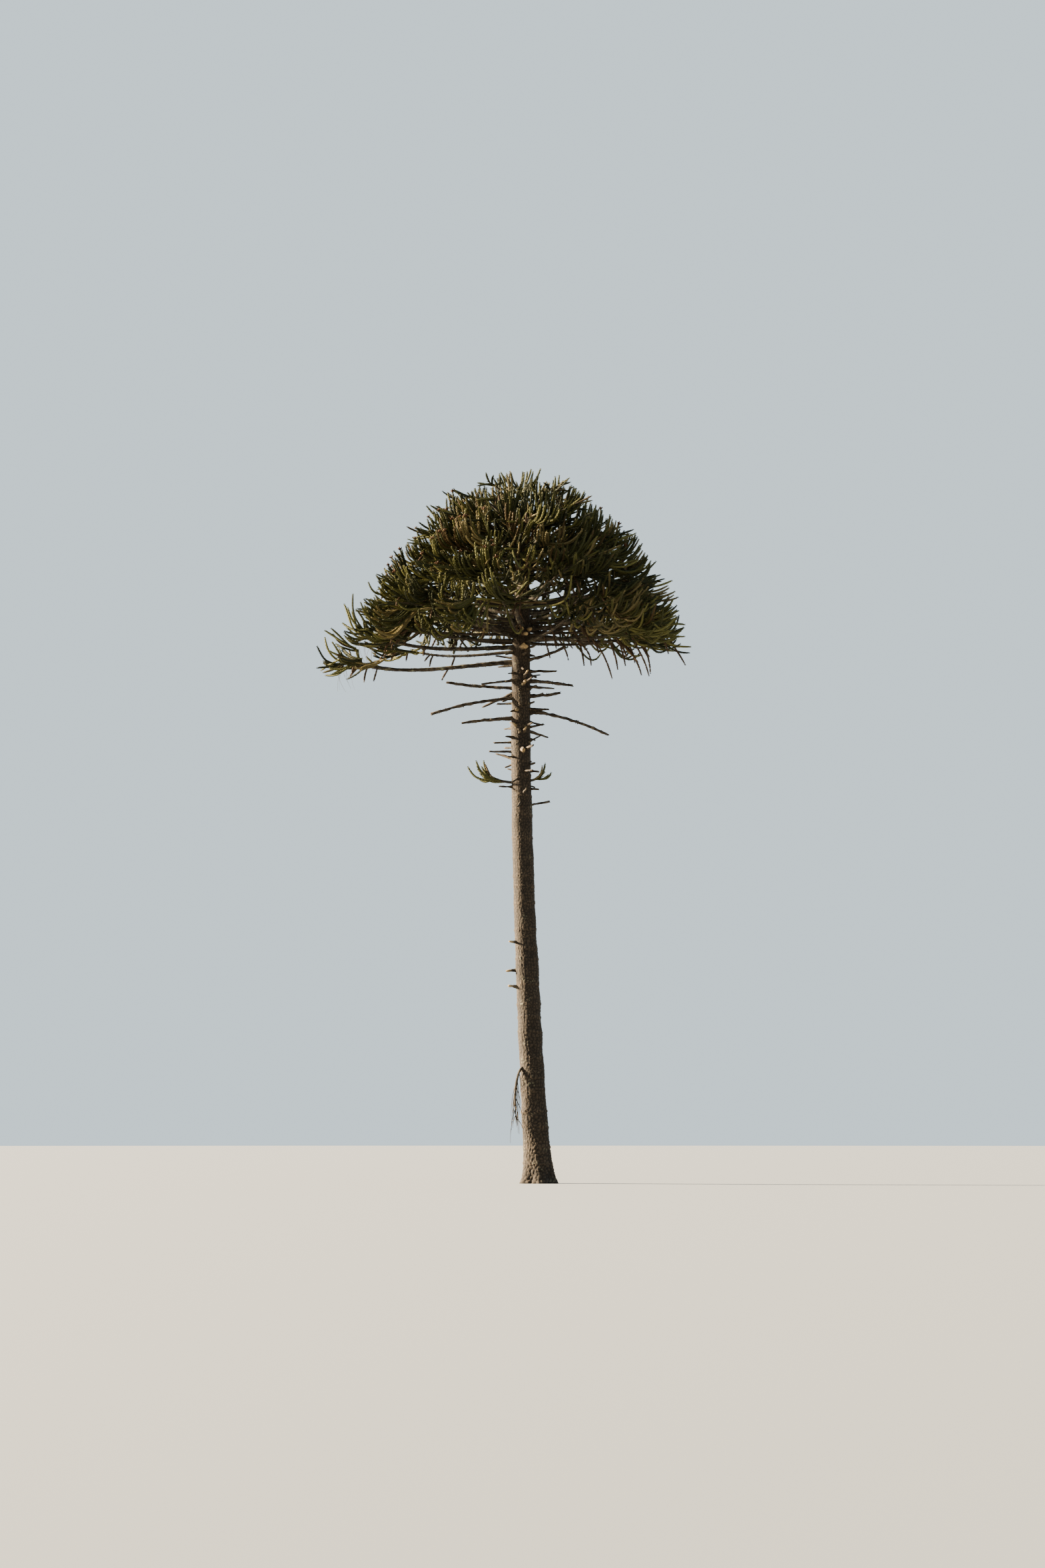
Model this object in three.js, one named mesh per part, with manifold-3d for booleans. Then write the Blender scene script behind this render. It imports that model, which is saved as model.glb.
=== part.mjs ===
// A full-grown monkey puzzle tree: a tall bare trunk with dead limbs under a domed crown of rope-like shoots.
// Millimetres, +Z up, +X to the right and +Y to the back. The origin is the middle of the flat foot at ground
// level. Every limb is a closed tapering tube along a curve, and each mass of foliage is a stem, its side twigs
// and their shoots joined into one solid.
import * as THREE from 'three';
import Module from 'manifold-3d';

const wasm = await Module();
wasm.setup();

// Whole tree
const TREE_HEIGHT = 24300;
const TRUNK_TOP = 23250;
const FOOT_RADIUS = 430;
const LEAN = 590; // sideways shift towards -X at LEAN_HEIGHT
const LEAN_HEIGHT = 16000;
const TOP_SWING = 150; // how far the top comes back towards +X
const GAP = 0.3; // clearance between neighbouring solids
const SEAT_MARGIN = 1.2; // over the gap, for the flats of the many-sided trunk
const SOCKET_DEPTH = 0.5; // of the trunk's radius: where limbs start inside it
const SEED = 1871;
const TURN = 2 * Math.PI;
const GOLDEN_TURN = TURN * 0.381966;
const UP = new THREE.Vector3(0, 0, 1);

// Crown
const CROWN_RADIUS = 5800;
const CROWN_FOOT = 18200; // height where the dome is widest
const DOME_POWER = 1.63;
const CROWN_AXIS = -630; // the dome stands this far towards -X from the foot

// Trunk: it tapers evenly up to the crown and then runs out to a slim leader
const TRUNK_SIDES = 12;
const TRUNK_RINGS = [0, 180, 450, 950, 2200, 4200, 6400, 8800, 11200, 13400, 15400, 17000, 18100, 19100, 20200,
  21300, 22300, TRUNK_TOP];
const EVEN_TAPER = 0.0069;
const RUN_OUT_FROM = 18000;
const RUN_OUT_LENGTH = 5600;
const RUN_OUT_POWER = 1.6;

// Root flare with low buttresses
const FLARE = 190;
const FLARE_HEIGHT = 520;
const BUTTRESSES = 5;
const BUTTRESS_DEPTH = 0.38;
const BUTTRESS_PHASE = 0.6;

// Boughs
const BOUGH_RADII = [92, 84, 78, 72, 66];
const BOUGH_SIDES = 6;
const BOUGH_SAG = 260;
const BARE_SHARE = 0.5; // of its reach: where the bare bough ends and its foliage begins
const STEM_SHARE = 0.84; // of its reach: where the stem of the foliage ends
const BEND_HANDLE = 0.33; // of a limb's length: how far its ends keep their own direction
const AZIMUTH_JITTER = 0.1;
const HEIGHT_JITTER = 130;

// Stems and side twigs inside the foliage
const STEM_RADII = [66, 64, 58, 48];
const STEM_SIDES = 4;
const STEM_LIFT = 180;
const TWIG_RADII = [0, 58, 44];
const TWIG_SIDES = 3;
const TWIG_BOW = 0.14; // of its length: how far a side twig bows outwards
const TWIGS = [
  { from: 0.12, side: 0.62, reach: 0.77, lift: 120 },
  { from: 0.12, side: -0.62, reach: 0.77, lift: 200 },
  { from: 0.5, side: 0.3, reach: 0.88, lift: 380 },
];

// Shoots: slim cores whose rings swell and shrink into teeth, as the whorls of stiff leaves do
const SHOOT_RADII = [0, 112, 64, 98, 0];
const SHOOT_SIDES = 3;
const SHOOT_SAG = 0.2; // of its length: how far a shoot hangs below its chord before it turns up
const SHOOT_SHORTEST = 420;
const SHOOT_LONGEST = 1800;
const ROOT_SPACING = 170; // between the roots of neighbouring shoots
const LAST_ROOT = 0.97; // of a limb's length: where its outermost shoot roots
const ROOTED_SHARE = 0.82; // of that length, counted inwards, carries shoots
const CLEARANCE = 25; // between shoots and whatever they must not touch
const MAY_TOUCH = -60; // shoots of one mass may come this close, counted past touching

// Tiers from the lowest up, with heights on the trunk and at the tips. The boughs of the upper tiers are so
// deep in foliage that their masses grow straight from the trunk.
const TIER_RISE = 0.25; // radians: how steeply those masses leave the trunk
const TIERS = [
  { label: 'first', count: 6, phase: 30, attach: 18850, tip: 19050, backLift: 550, bough: true },
  { label: 'second', count: 6, phase: 0, attach: 19700, tip: 20150, bough: true },
  { label: 'third', count: 6, phase: 30, attach: 20500, tip: 21200, bough: false },
  { label: 'fourth', count: 5, phase: 10, attach: 21350, tip: 22150, bough: false },
  { label: 'fifth', count: 3, phase: 50, attach: 22150, tip: 23000, bough: false },
];

// The lowest live boughs reach out past the dome or droop at its edge, so each has its own figures.
const LOW_SPREAD = 0.3;
const LOW_BOUGHS = [
  { azimuth: 176, attach: 17650, tip: 17560, reach: 7000, bare: 0.75, sag: 360, rise: [-0.45, 0.45] },
  { azimuth: 190, attach: 18150, tip: 18180, reach: 6100, bare: 0.68, sag: 300, rise: [-0.1, 1] },
  { azimuth: 5, attach: 18560, tip: 18420, reach: 5850, bare: 0.56, sag: 150, rise: [-0.5, 0.8] },
  { azimuth: 333, attach: 18460, tip: 18300, reach: 5850, bare: 0.54, sag: 150, rise: [-0.55, 0.8] },
];

// Dead limbs below the crown: heading, height on the trunk, length and rise at the end
const DEAD_LIMBS = [
  { azimuth: 356, height: 15950, length: 2560, rise: -800 },
  { azimuth: 186, height: 16400, length: 2640, rise: -560 },
  { azimuth: 172, height: 16750, length: 2150, rise: 230 },
  { azimuth: 190, height: 15700, length: 1600, rise: -190 },
  { azimuth: 8, height: 17000, length: 1380, rise: -120 },
  { azimuth: 340, height: 17700, length: 1150, rise: 330 },
  { azimuth: 84, height: 16600, length: 1500, rise: -150 },
  { azimuth: 268, height: 16150, length: 1150, rise: 160 },
  { azimuth: 22, height: 16480, length: 1050, rise: 160 },
];
const DEAD_RADII = [58, 46, 40, 28];
const DEAD_SIDES = 5;
const DEAD_BEND = 0.15; // of the rise: how much of it a dead limb has gained halfway
const HANGING_LIMB = { azimuth: 214, height: 3900, out: 420, drop: 1850 };
const HANGING_RADII = [46, 42, 36, 30, 20];
const HANGING_RETURN = 0.55; // of out: where the hanging end lies

// Short snags where dead limbs broke off, joined to the trunk
const SNAG_COUNT = 16;
const SNAG_LOW = 13900;
const SNAG_HIGH = 17950;
const SNAG_LENGTH = [230, 560];
const SNAG_RISE = [-0.2, 0.3];
const SNAG_PHASE = 0.4;
const SNAG_RADII = [52, 44, 30];
const SNAG_SIDES = 4;

// Live sprouts low on the trunk
const SPROUTS = [
  { label: 'left', azimuth: 184, height: 13500, reach: 1650 },
  { label: 'right', azimuth: 350, height: 13560, reach: 760 },
];
const SPROUT_STEM = 0.6; // of its reach: how long the sprout's own stem is
const SPROUT_TILT = 0.25;
const SPROUT_SHOOTS = 7;
const SPROUT_RISE = [0.15, 1.05];
const SPROUT_SPACING = 90;
const SPROUT_LENGTH = 300;
const SPROUT_LENGTH_SHARE = 0.35; // of its reach, added to the length of its shoots
const SPROUT_MAY_TOUCH = -150;

// Leader on the trunk's top
const LEADER_HEIGHT = 400;
const LEADER_TWIGS = 4;
const LEADER_SPREAD = 800;
const LEADER_TILT = 0.3;

// Shoot counts and how they spread
const DOME_SHOOTS = 340;
const DOME_ROUGHNESS = 0.045;
const INNER_SHARE = 0.2; // share of the shoots that end in an inner shell
const INNER_SHELL = [0.62, 0.8];
const DOME_HANG = 300; // how far tips reach below the dome's foot
const BACK_EDGE_LIFT = 1300; // how much higher the crown's edge stands at the back
const ROOT_TRIES = 3;
const LOW_SHOOTS = 10;
const LOW_LENGTH = [950, 1300];
const FAN_SPREAD = 0.95;
const FAN_TRIES = 3;

// A number from 0 to 1 that depends only on whole-number keys, so that growth is the same in every run.
function chance(...keys) {
  let hash = SEED;
  for (const key of keys) {
    hash = Math.imul(hash ^ (key + 0x7f4a7c15), 0x85ebca6b);
    hash ^= hash >>> 13;
    hash = Math.imul(hash, 0xc2b2ae35);
    hash ^= hash >>> 16;
  }
  return (hash >>> 0) / 4294967296;
}

function between(low, high, ...keys) {
  return low + (high - low) * chance(...keys);
}

function outward(azimuth, rise = 0) {
  const flat = Math.cos(rise);
  return new THREE.Vector3(flat * Math.cos(azimuth), flat * Math.sin(azimuth), Math.sin(rise));
}

function along(from, direction, distance) {
  return from.clone().addScaledVector(direction, distance);
}

// The trunk's axis leans to the left as it rises and comes back a little inside the crown.
function trunkCentre(z) {
  const share = Math.min(1, Math.max(0, z / LEAN_HEIGHT));
  const above = Math.max(0, (z - LEAN_HEIGHT) / (TRUNK_TOP - LEAN_HEIGHT));
  return new THREE.Vector3(-LEAN * Math.sin(share * Math.PI / 2) + TOP_SWING * above ** 2, 0, z);
}

function trunkRadius(z) {
  const even = FOOT_RADIUS - EVEN_TAPER * Math.min(z, RUN_OUT_FROM);
  const runOut = Math.max(0, z - RUN_OUT_FROM) / RUN_OUT_LENGTH;
  return even * (1 - runOut ** RUN_OUT_POWER);
}

function flare(z, angle) {
  return FLARE * Math.exp(-z / FLARE_HEIGHT) * (1 + BUTTRESS_DEPTH * Math.cos(BUTTRESSES * angle + BUTTRESS_PHASE));
}

// The dome's radius at a height: a rounded cone, flat on top.
function domeRadius(z) {
  const share = Math.min(1, Math.max(0, (z - CROWN_FOOT) / (TREE_HEIGHT - CROWN_FOOT)));
  return CROWN_RADIUS * (1 - share ** DOME_POWER) ** (1 / DOME_POWER);
}

function domeCentre(z) {
  return new THREE.Vector3(CROWN_AXIS, 0, z);
}

// From 0 at the sides and the front to 1 straight at the back
function backShare(azimuth) {
  return Math.max(0, Math.sin(azimuth)) ** 2;
}

// A closed tube along a curve. radii gives the radius at evenly spaced rings, where 0 makes a point of the ring.
// spin turns each ring past the one before, so that the edges of a toothed shoot stand apart.
function tube(curve, radii, sides, spin = 0) {
  const steps = radii.length - 1;
  const points = curve.getSpacedPoints(steps);
  const { normals, binormals } = curve.computeFrenetFrames(steps);
  const positions = [];
  const faces = [];
  const addFace = (a, b, c) => {
    if (a !== b && b !== c && c !== a) faces.push(a, b, c);
  };
  const rings = radii.map((radius, ring) => Array.from({ length: sides }, (_, side) => {
    if (radius > 0 || side === 0) {
      const angle = TURN * side / sides + spin * ring;
      const point = points[ring].clone()
        .addScaledVector(normals[ring], Math.cos(angle) * radius)
        .addScaledVector(binormals[ring], Math.sin(angle) * radius);
      positions.push(...point.toArray());
    }
    return positions.length / 3 - 1;
  }));
  for (let ring = 0; ring < steps; ring++) {
    for (let side = 0; side < sides; side++) {
      const next = (side + 1) % sides;
      addFace(rings[ring][side], rings[ring][next], rings[ring + 1][side]);
      addFace(rings[ring][next], rings[ring + 1][next], rings[ring + 1][side]);
    }
  }
  for (let side = 1; side < sides - 1; side++) {
    addFace(rings[0][0], rings[0][side + 1], rings[0][side]);
    addFace(rings[steps][0], rings[steps][side], rings[steps][side + 1]);
  }
  return new THREE.BufferGeometry()
    .setAttribute('position', new THREE.Float32BufferAttribute(positions, 3))
    .setIndex(faces);
}

function toSolid(geometry) {
  return new wasm.Manifold(new wasm.Mesh({
    numProp: 3,
    vertProperties: geometry.getAttribute('position').array,
    triVerts: new Uint32Array(geometry.index.array),
  }));
}

// The solid's largest body as a geometry; a loose scrap that a cut leaves is dropped.
function toGeometry(solid) {
  const bodies = solid.decompose().sort((a, b) => b.volume() - a.volume());
  const mesh = bodies[0].getMesh();
  return new THREE.BufferGeometry()
    .setAttribute('position', new THREE.Float32BufferAttribute(mesh.vertProperties, 3))
    .setIndex(new THREE.Uint32BufferAttribute(mesh.triVerts, 1));
}

// The pieces of a tube's centreline with their radius, for telling how far one limb is from another.
function segmentsOf(curve, radii) {
  const points = curve.getSpacedPoints(radii.length - 1);
  return points.slice(1).map((end, index) => {
    const line = new THREE.Line3(points[index], end);
    return {
      line,
      radius: Math.max(radii[index], radii[index + 1]),
      middle: line.getCenter(new THREE.Vector3()),
      reach: line.distance() / 2,
    };
  });
}

const nearestA = new THREE.Vector3();
const nearestB = new THREE.Vector3();
function clears(candidates, obstacles, clearance) {
  return candidates.every((a) => obstacles.every((b) => {
    const wanted = a.radius + b.radius + clearance;
    if (a.middle.distanceTo(b.middle) > wanted + a.reach + b.reach) return true;
    return a.line.distanceSqToLine3(b.line, nearestA, nearestB) > wanted ** 2;
  }));
}

const materials = {
  bark: new THREE.MeshStandardMaterial({ color: 0x4b3d31, roughness: 0.95, metalness: 0 }),
  deadwood: new THREE.MeshStandardMaterial({ color: 0x6b5a49, roughness: 0.95, metalness: 0 }),
  foliage: new THREE.MeshStandardMaterial({ color: 0x3c4222, roughness: 0.7, metalness: 0 }),
};
const tree = new THREE.Group();

function addNode(name, solid, material) {
  const mesh = new THREE.Mesh(toGeometry(solid), material.clone());
  mesh.name = name;
  tree.add(mesh);
}

// The trunk's skin, pushed outwards by extra
function trunkGeometry(extra) {
  const positions = [];
  const faces = [];
  const vertex = (ring, side) => ring * TRUNK_SIDES + side % TRUNK_SIDES;
  const last = TRUNK_RINGS.length - 1;
  TRUNK_RINGS.forEach((z, ring) => {
    const centre = trunkCentre(z);
    for (let side = 0; side < TRUNK_SIDES; side++) {
      const angle = TURN * side / TRUNK_SIDES;
      const radius = trunkRadius(z) + flare(z, angle) + extra;
      positions.push(centre.x + radius * Math.cos(angle), centre.y + radius * Math.sin(angle), z);
      if (ring === last) continue;
      const [a, b] = [vertex(ring, side), vertex(ring, side + 1)];
      const [c, d] = [vertex(ring + 1, side + 1), vertex(ring + 1, side)];
      faces.push(a, b, c, a, c, d);
    }
  });
  for (let side = 1; side < TRUNK_SIDES - 1; side++) {
    faces.push(0, side + 1, side);
    faces.push(vertex(last, 0), vertex(last, side), vertex(last, side + 1));
  }
  return new THREE.BufferGeometry()
    .setAttribute('position', new THREE.Float32BufferAttribute(positions, 3))
    .setIndex(faces);
}

// Limbs start inside the trunk and are cut back to a trunk that is larger by the gap.
const trunkGrown = toSolid(trunkGeometry(GAP * SEAT_MARGIN));
function socket(azimuth, height) {
  return along(trunkCentre(height), outward(azimuth), trunkRadius(height) * SOCKET_DEPTH);
}
function socketLength(height) {
  return trunkRadius(height) * (1 - SOCKET_DEPTH);
}

// What shoots keep clear of: the trunk, the boughs and the dead limbs, and every mass but their own
const trunkLine = new THREE.CatmullRomCurve3(TRUNK_RINGS.map((z) => trunkCentre(z)));
const trunkSteps = TRUNK_RINGS.map((_, index) => trunkRadius(TRUNK_TOP * index / (TRUNK_RINGS.length - 1)));
const boughSegments = segmentsOf(trunkLine, trunkSteps);
const deadSegments = [];
const masses = [];

// Dead limbs leave the trunk level and bend down or up towards their broken ends.
function addDeadLimbs() {
  DEAD_LIMBS.forEach((limb, index) => {
    const out = outward(THREE.MathUtils.degToRad(limb.azimuth));
    const start = socket(THREE.MathUtils.degToRad(limb.azimuth), limb.height);
    const reach = socketLength(limb.height) + limb.length;
    const curve = new THREE.QuadraticBezierCurve3(
      start,
      along(start, out, reach / 2).addScaledVector(UP, limb.rise * DEAD_BEND),
      along(start, out, reach).addScaledVector(UP, limb.rise),
    );
    deadSegments.push(...segmentsOf(curve, DEAD_RADII));
    const solid = toSolid(tube(curve, DEAD_RADII, DEAD_SIDES)).subtract(trunkGrown);
    addNode(`dead_limb_${index + 1}`, solid, materials.deadwood);
  });
}

// One dead limb low on the trunk has dropped and hangs down beside it.
function addHangingLimb() {
  const { height, out, drop } = HANGING_LIMB;
  const azimuth = THREE.MathUtils.degToRad(HANGING_LIMB.azimuth);
  const start = socket(azimuth, height);
  const elbow = along(start, outward(azimuth), socketLength(height) + out);
  const end = along(start, outward(azimuth), socketLength(height) + out * HANGING_RETURN);
  const curve = new THREE.QuadraticBezierCurve3(start, elbow, end.addScaledVector(UP, -drop));
  const solid = toSolid(tube(curve, HANGING_RADII, DEAD_SIDES)).subtract(trunkGrown);
  addNode('dead_limb_hanging', solid, materials.deadwood);
}

function lowPlans() {
  return LOW_BOUGHS.map((bough, index) => ({
    ...bough,
    name: `low_${index + 1}`,
    azimuth: THREE.MathUtils.degToRad(bough.azimuth),
    spread: LOW_SPREAD,
    bough: true,
    low: true,
  }));
}

function tierPlans(tier, level) {
  return Array.from({ length: tier.count }, (_, index) => {
    const turn = THREE.MathUtils.degToRad(tier.phase) + TURN * index / tier.count;
    const lift = (tier.backLift ?? 0) * backShare(turn);
    const tip = tier.tip + lift + between(-1, 1, level, index, 3) * HEIGHT_JITTER;
    return {
      name: `${tier.label}_${index + 1}`,
      azimuth: turn + between(-1, 1, level, index, 1) * AZIMUTH_JITTER,
      attach: tier.attach + lift / 2 + between(-1, 1, level, index, 2) * HEIGHT_JITTER,
      tip,
      reach: domeRadius(tip),
      bare: BARE_SHARE,
      sag: BOUGH_SAG,
      spread: Math.PI / tier.count,
      bough: tier.bough,
    };
  });
}

// A bough leaves the trunk level, sags a little and lifts towards its end.
function boughCurve(plan) {
  const out = outward(plan.azimuth);
  const start = socket(plan.azimuth, plan.attach);
  const end = along(domeCentre(plan.tip), out, plan.reach * plan.bare);
  const length = start.distanceTo(end);
  return new THREE.CubicBezierCurve3(
    start,
    along(start, out, length * BEND_HANDLE).addScaledVector(UP, -plan.sag * 0.2),
    along(end, out, -length * BEND_HANDLE).addScaledVector(UP, -plan.sag),
    end,
  );
}

// The stem of a mass goes on in the bough's own direction.
function stemCurve(plan, from, heading) {
  const out = outward(plan.azimuth);
  const end = along(domeCentre(plan.tip), out, plan.reach * STEM_SHARE).addScaledVector(UP, STEM_LIFT);
  const handle = from.distanceTo(end) * BEND_HANDLE;
  return new THREE.CubicBezierCurve3(from, along(from, heading, handle), along(end, out, -handle), end);
}

// Side twigs fan out from the stem, bowed outwards.
function twigCurve(plan, stem, twig) {
  const start = stem.getPointAt(twig.from);
  const azimuth = plan.azimuth + twig.side * plan.spread;
  const end = along(domeCentre(plan.tip), outward(azimuth), plan.reach * twig.reach).addScaledVector(UP, twig.lift);
  const middle = start.clone().lerp(end, 0.5);
  middle.addScaledVector(outward(plan.azimuth), start.distanceTo(end) * TWIG_BOW);
  return new THREE.QuadraticBezierCurve3(start, middle, end);
}

// A mass starts as bare limbs with places where shoots can root, spread evenly along them.
function addMass(name, plan, stem, twigs, spacing = ROOT_SPACING) {
  const limbs = [
    { curve: stem, radii: STEM_RADII, sides: STEM_SIDES },
    ...twigs.map((curve) => ({ curve, radii: TWIG_RADII, sides: TWIG_SIDES })),
  ];
  const roots = limbs.flatMap(({ curve }) => {
    const count = Math.max(2, Math.round(curve.getLength() / spacing));
    const share = (index) => LAST_ROOT * (1 - ROOTED_SHARE * index / count);
    return Array.from({ length: count }, (_, index) => curve.getPointAt(share(index)));
  });
  const segments = limbs.flatMap(({ curve, radii }) => segmentsOf(curve, radii));
  masses.push({ name, plan, limbs, roots, segments, shoots: [], shootSegments: [] });
}

// A bough that shows is a solid of its own, and its mass goes on from its tip. The rest grow from the trunk.
function addBranch(plan) {
  let stem;
  if (plan.bough) {
    const bough = boughCurve(plan);
    const heading = bough.getTangentAt(1);
    boughSegments.push(...segmentsOf(bough, BOUGH_RADII));
    const solid = toSolid(tube(bough, BOUGH_RADII, BOUGH_SIDES)).subtract(trunkGrown);
    addNode(`bough_${plan.name}`, solid, materials.bark);
    stem = stemCurve(plan, along(bough.getPointAt(1), heading, GAP), heading);
  } else {
    stem = stemCurve(plan, socket(plan.azimuth, plan.attach), outward(plan.azimuth, TIER_RISE));
  }
  addMass(`foliage_${plan.name}`, plan, stem, TWIGS.map((twig) => twigCurve(plan, stem, twig)));
}

function addSprout(sprout) {
  const azimuth = THREE.MathUtils.degToRad(sprout.azimuth);
  const start = socket(azimuth, sprout.height);
  const length = socketLength(sprout.height) + sprout.reach * SPROUT_STEM;
  const stem = new THREE.QuadraticBezierCurve3(
    start,
    along(start, outward(azimuth), length / 2),
    along(start, outward(azimuth, SPROUT_TILT), length),
  );
  const plan = { azimuth, reach: sprout.reach, rise: SPROUT_RISE, sprout: true };
  addMass(`sprout_${sprout.label}`, plan, stem, [], SPROUT_SPACING);
}

// The leader stands on the trunk's top and carries the highest shoots.
function addLeader() {
  const foot = trunkCentre(TRUNK_TOP).addScaledVector(UP, GAP);
  const stem = new THREE.LineCurve3(foot, along(foot, UP, LEADER_HEIGHT));
  const twigs = Array.from({ length: LEADER_TWIGS }, (_, index) => {
    const azimuth = TURN * (index + 0.3) / LEADER_TWIGS;
    const start = along(foot, UP, LEADER_HEIGHT / 2);
    return new THREE.QuadraticBezierCurve3(
      start,
      along(start, outward(azimuth), LEADER_SPREAD / 2),
      along(start, outward(azimuth, LEADER_TILT), LEADER_SPREAD),
    );
  });
  addMass('foliage_leader', { leader: true }, stem, twigs);
}

// A shoot hangs out from its root and turns up to its tip. It joins its mass if it keeps clear of every limb and
// of the other masses.
function growShoot(mass, root, tip) {
  const middle = root.clone().lerp(tip, 0.5).addScaledVector(UP, -root.distanceTo(tip) * SHOOT_SAG);
  const curve = new THREE.QuadraticBezierCurve3(root, middle, tip);
  const segments = segmentsOf(curve, SHOOT_RADII);
  const free = segments.slice(1);
  const others = masses.filter((other) => other !== mass)
    .flatMap((other) => [...other.segments, ...other.shootSegments]);
  const mayTouch = mass.plan.sprout ? SPROUT_MAY_TOUCH : MAY_TOUCH;
  if (!clears(segments, others, CLEARANCE)) return false;
  if (!clears(free, [...boughSegments, ...deadSegments], CLEARANCE)) return false;
  if (!clears(free, mass.shootSegments, mayTouch)) return false;
  mass.shoots.push(curve);
  mass.shootSegments.push(...segments);
  mass.roots.splice(mass.roots.indexOf(root), 1);
  return true;
}

// The low masses and the sprouts carry free fans of shoots within their own reach.
function growFan(mass, order) {
  const { low, rise, reach, azimuth } = mass.plan;
  const wanted = low ? LOW_SHOOTS : SPROUT_SHOOTS;
  for (let index = 0; index < wanted * FAN_TRIES && mass.shoots.length < wanted; index++) {
    const root = mass.roots[Math.floor(chance(order, index, 31) * mass.roots.length)];
    if (!root) return;
    const heading = outward(
      azimuth + between(-FAN_SPREAD, FAN_SPREAD, order, index, 32),
      between(...rise, order, index, 33),
    );
    const length = low ? between(...LOW_LENGTH, order, index, 34) : SPROUT_LENGTH + reach * SPROUT_LENGTH_SHARE;
    const tip = along(root, heading, length);
    const furthest = low ? reach : reach + trunkRadius(tip.z);
    const axis = low ? domeCentre(tip.z) : trunkCentre(tip.z);
    if (tip.distanceTo(axis) <= furthest) growShoot(mass, root, tip);
  }
}

// Shoot tips are spread evenly over the dome, and each grows from the nearest free root that lets it.
function growDome() {
  const crownMasses = masses.filter((mass) => !mass.plan.sprout);
  for (let index = 0; index < DOME_SHOOTS; index++) {
    const height = TREE_HEIGHT - (TREE_HEIGHT - CROWN_FOOT + DOME_HANG) * (index + 0.4) / DOME_SHOOTS;
    const azimuth = index * GOLDEN_TURN;
    if (height < CROWN_FOOT - DOME_HANG + BACK_EDGE_LIFT * backShare(azimuth)) continue;
    const shell = chance(index, 41) < INNER_SHARE
      ? between(...INNER_SHELL, index, 42)
      : between(1 - DOME_ROUGHNESS, 1 + DOME_ROUGHNESS, index, 43);
    const tip = along(domeCentre(height), outward(azimuth), domeRadius(height) * shell);
    crownMasses
      .flatMap((mass) => mass.roots.map((root) => ({ mass, root, distance: root.distanceTo(tip) })))
      .filter(({ distance }) => distance > SHOOT_SHORTEST && distance < SHOOT_LONGEST)
      .sort((a, b) => a.distance - b.distance)
      .slice(0, ROOT_TRIES)
      .some(({ mass, root }) => growShoot(mass, root, tip));
  }
}

function addFoliage(mass) {
  const limbs = mass.limbs.map(({ curve, radii, sides }) => tube(curve, radii, sides));
  const shoots = mass.shoots.map((curve) => tube(curve, SHOOT_RADII, SHOOT_SIDES, Math.PI / SHOOT_SIDES));
  const whole = wasm.Manifold.union([...limbs, ...shoots].map(toSolid));
  const standsClear = mass.plan.bough || mass.plan.leader;
  addNode(mass.name, standsClear ? whole : whole.subtract(trunkGrown), materials.foliage);
}

// Snags stand between the dead limbs, spaced up the trunk and turned round it by the golden angle.
function snagSolids() {
  const neighbours = [...deadSegments, ...masses.flatMap((mass) => [...mass.segments, ...mass.shootSegments])];
  return Array.from({ length: SNAG_COUNT }, (_, index) => {
    const height = SNAG_LOW + (SNAG_HIGH - SNAG_LOW) * (index + chance(index, 21)) / SNAG_COUNT;
    const azimuth = index * GOLDEN_TURN + SNAG_PHASE;
    const length = socketLength(height) + between(...SNAG_LENGTH, index, 22);
    const heading = outward(azimuth, between(...SNAG_RISE, index, 23));
    const start = socket(azimuth, height);
    return new THREE.LineCurve3(start, along(start, heading, length));
  })
    .filter((curve) => clears(segmentsOf(curve, SNAG_RADII), neighbours, CLEARANCE))
    .map((curve) => toSolid(tube(curve, SNAG_RADII, SNAG_SIDES)));
}

addDeadLimbs();
addHangingLimb();
[...lowPlans(), ...TIERS.flatMap(tierPlans)].forEach(addBranch);
SPROUTS.forEach(addSprout);
addLeader();
masses.forEach((mass, order) => {
  if (mass.plan.low || mass.plan.sprout) growFan(mass, order);
});
growDome();
masses.forEach(addFoliage);
addNode('trunk', wasm.Manifold.union([toSolid(trunkGeometry(0)), ...snagSolids()]), materials.bark);

export default tree;
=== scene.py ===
"""The looks of a full-grown monkey puzzle tree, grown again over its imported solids.

Metres, +Z up, +X to the right and +Y to the back, from the middle of the flat foot at ground level.
Trunk, boughs and stems stand where the solids stand, by the same rule and from the same sizes. From them
the rule is carried on to more boughs, side twigs, leafy shoots, cones, dead shoots and bark.
The whole numbers that end the calls of chance, between and either_way only set their draws apart.
"""
import sys

import json
import logging
import math
from collections.abc import Callable, Iterable, Iterator, Sequence
from dataclasses import dataclass, field
from enum import Enum

import bpy
import numpy as np
from mathutils import Euler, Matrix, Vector
from mathutils.kdtree import KDTree

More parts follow.
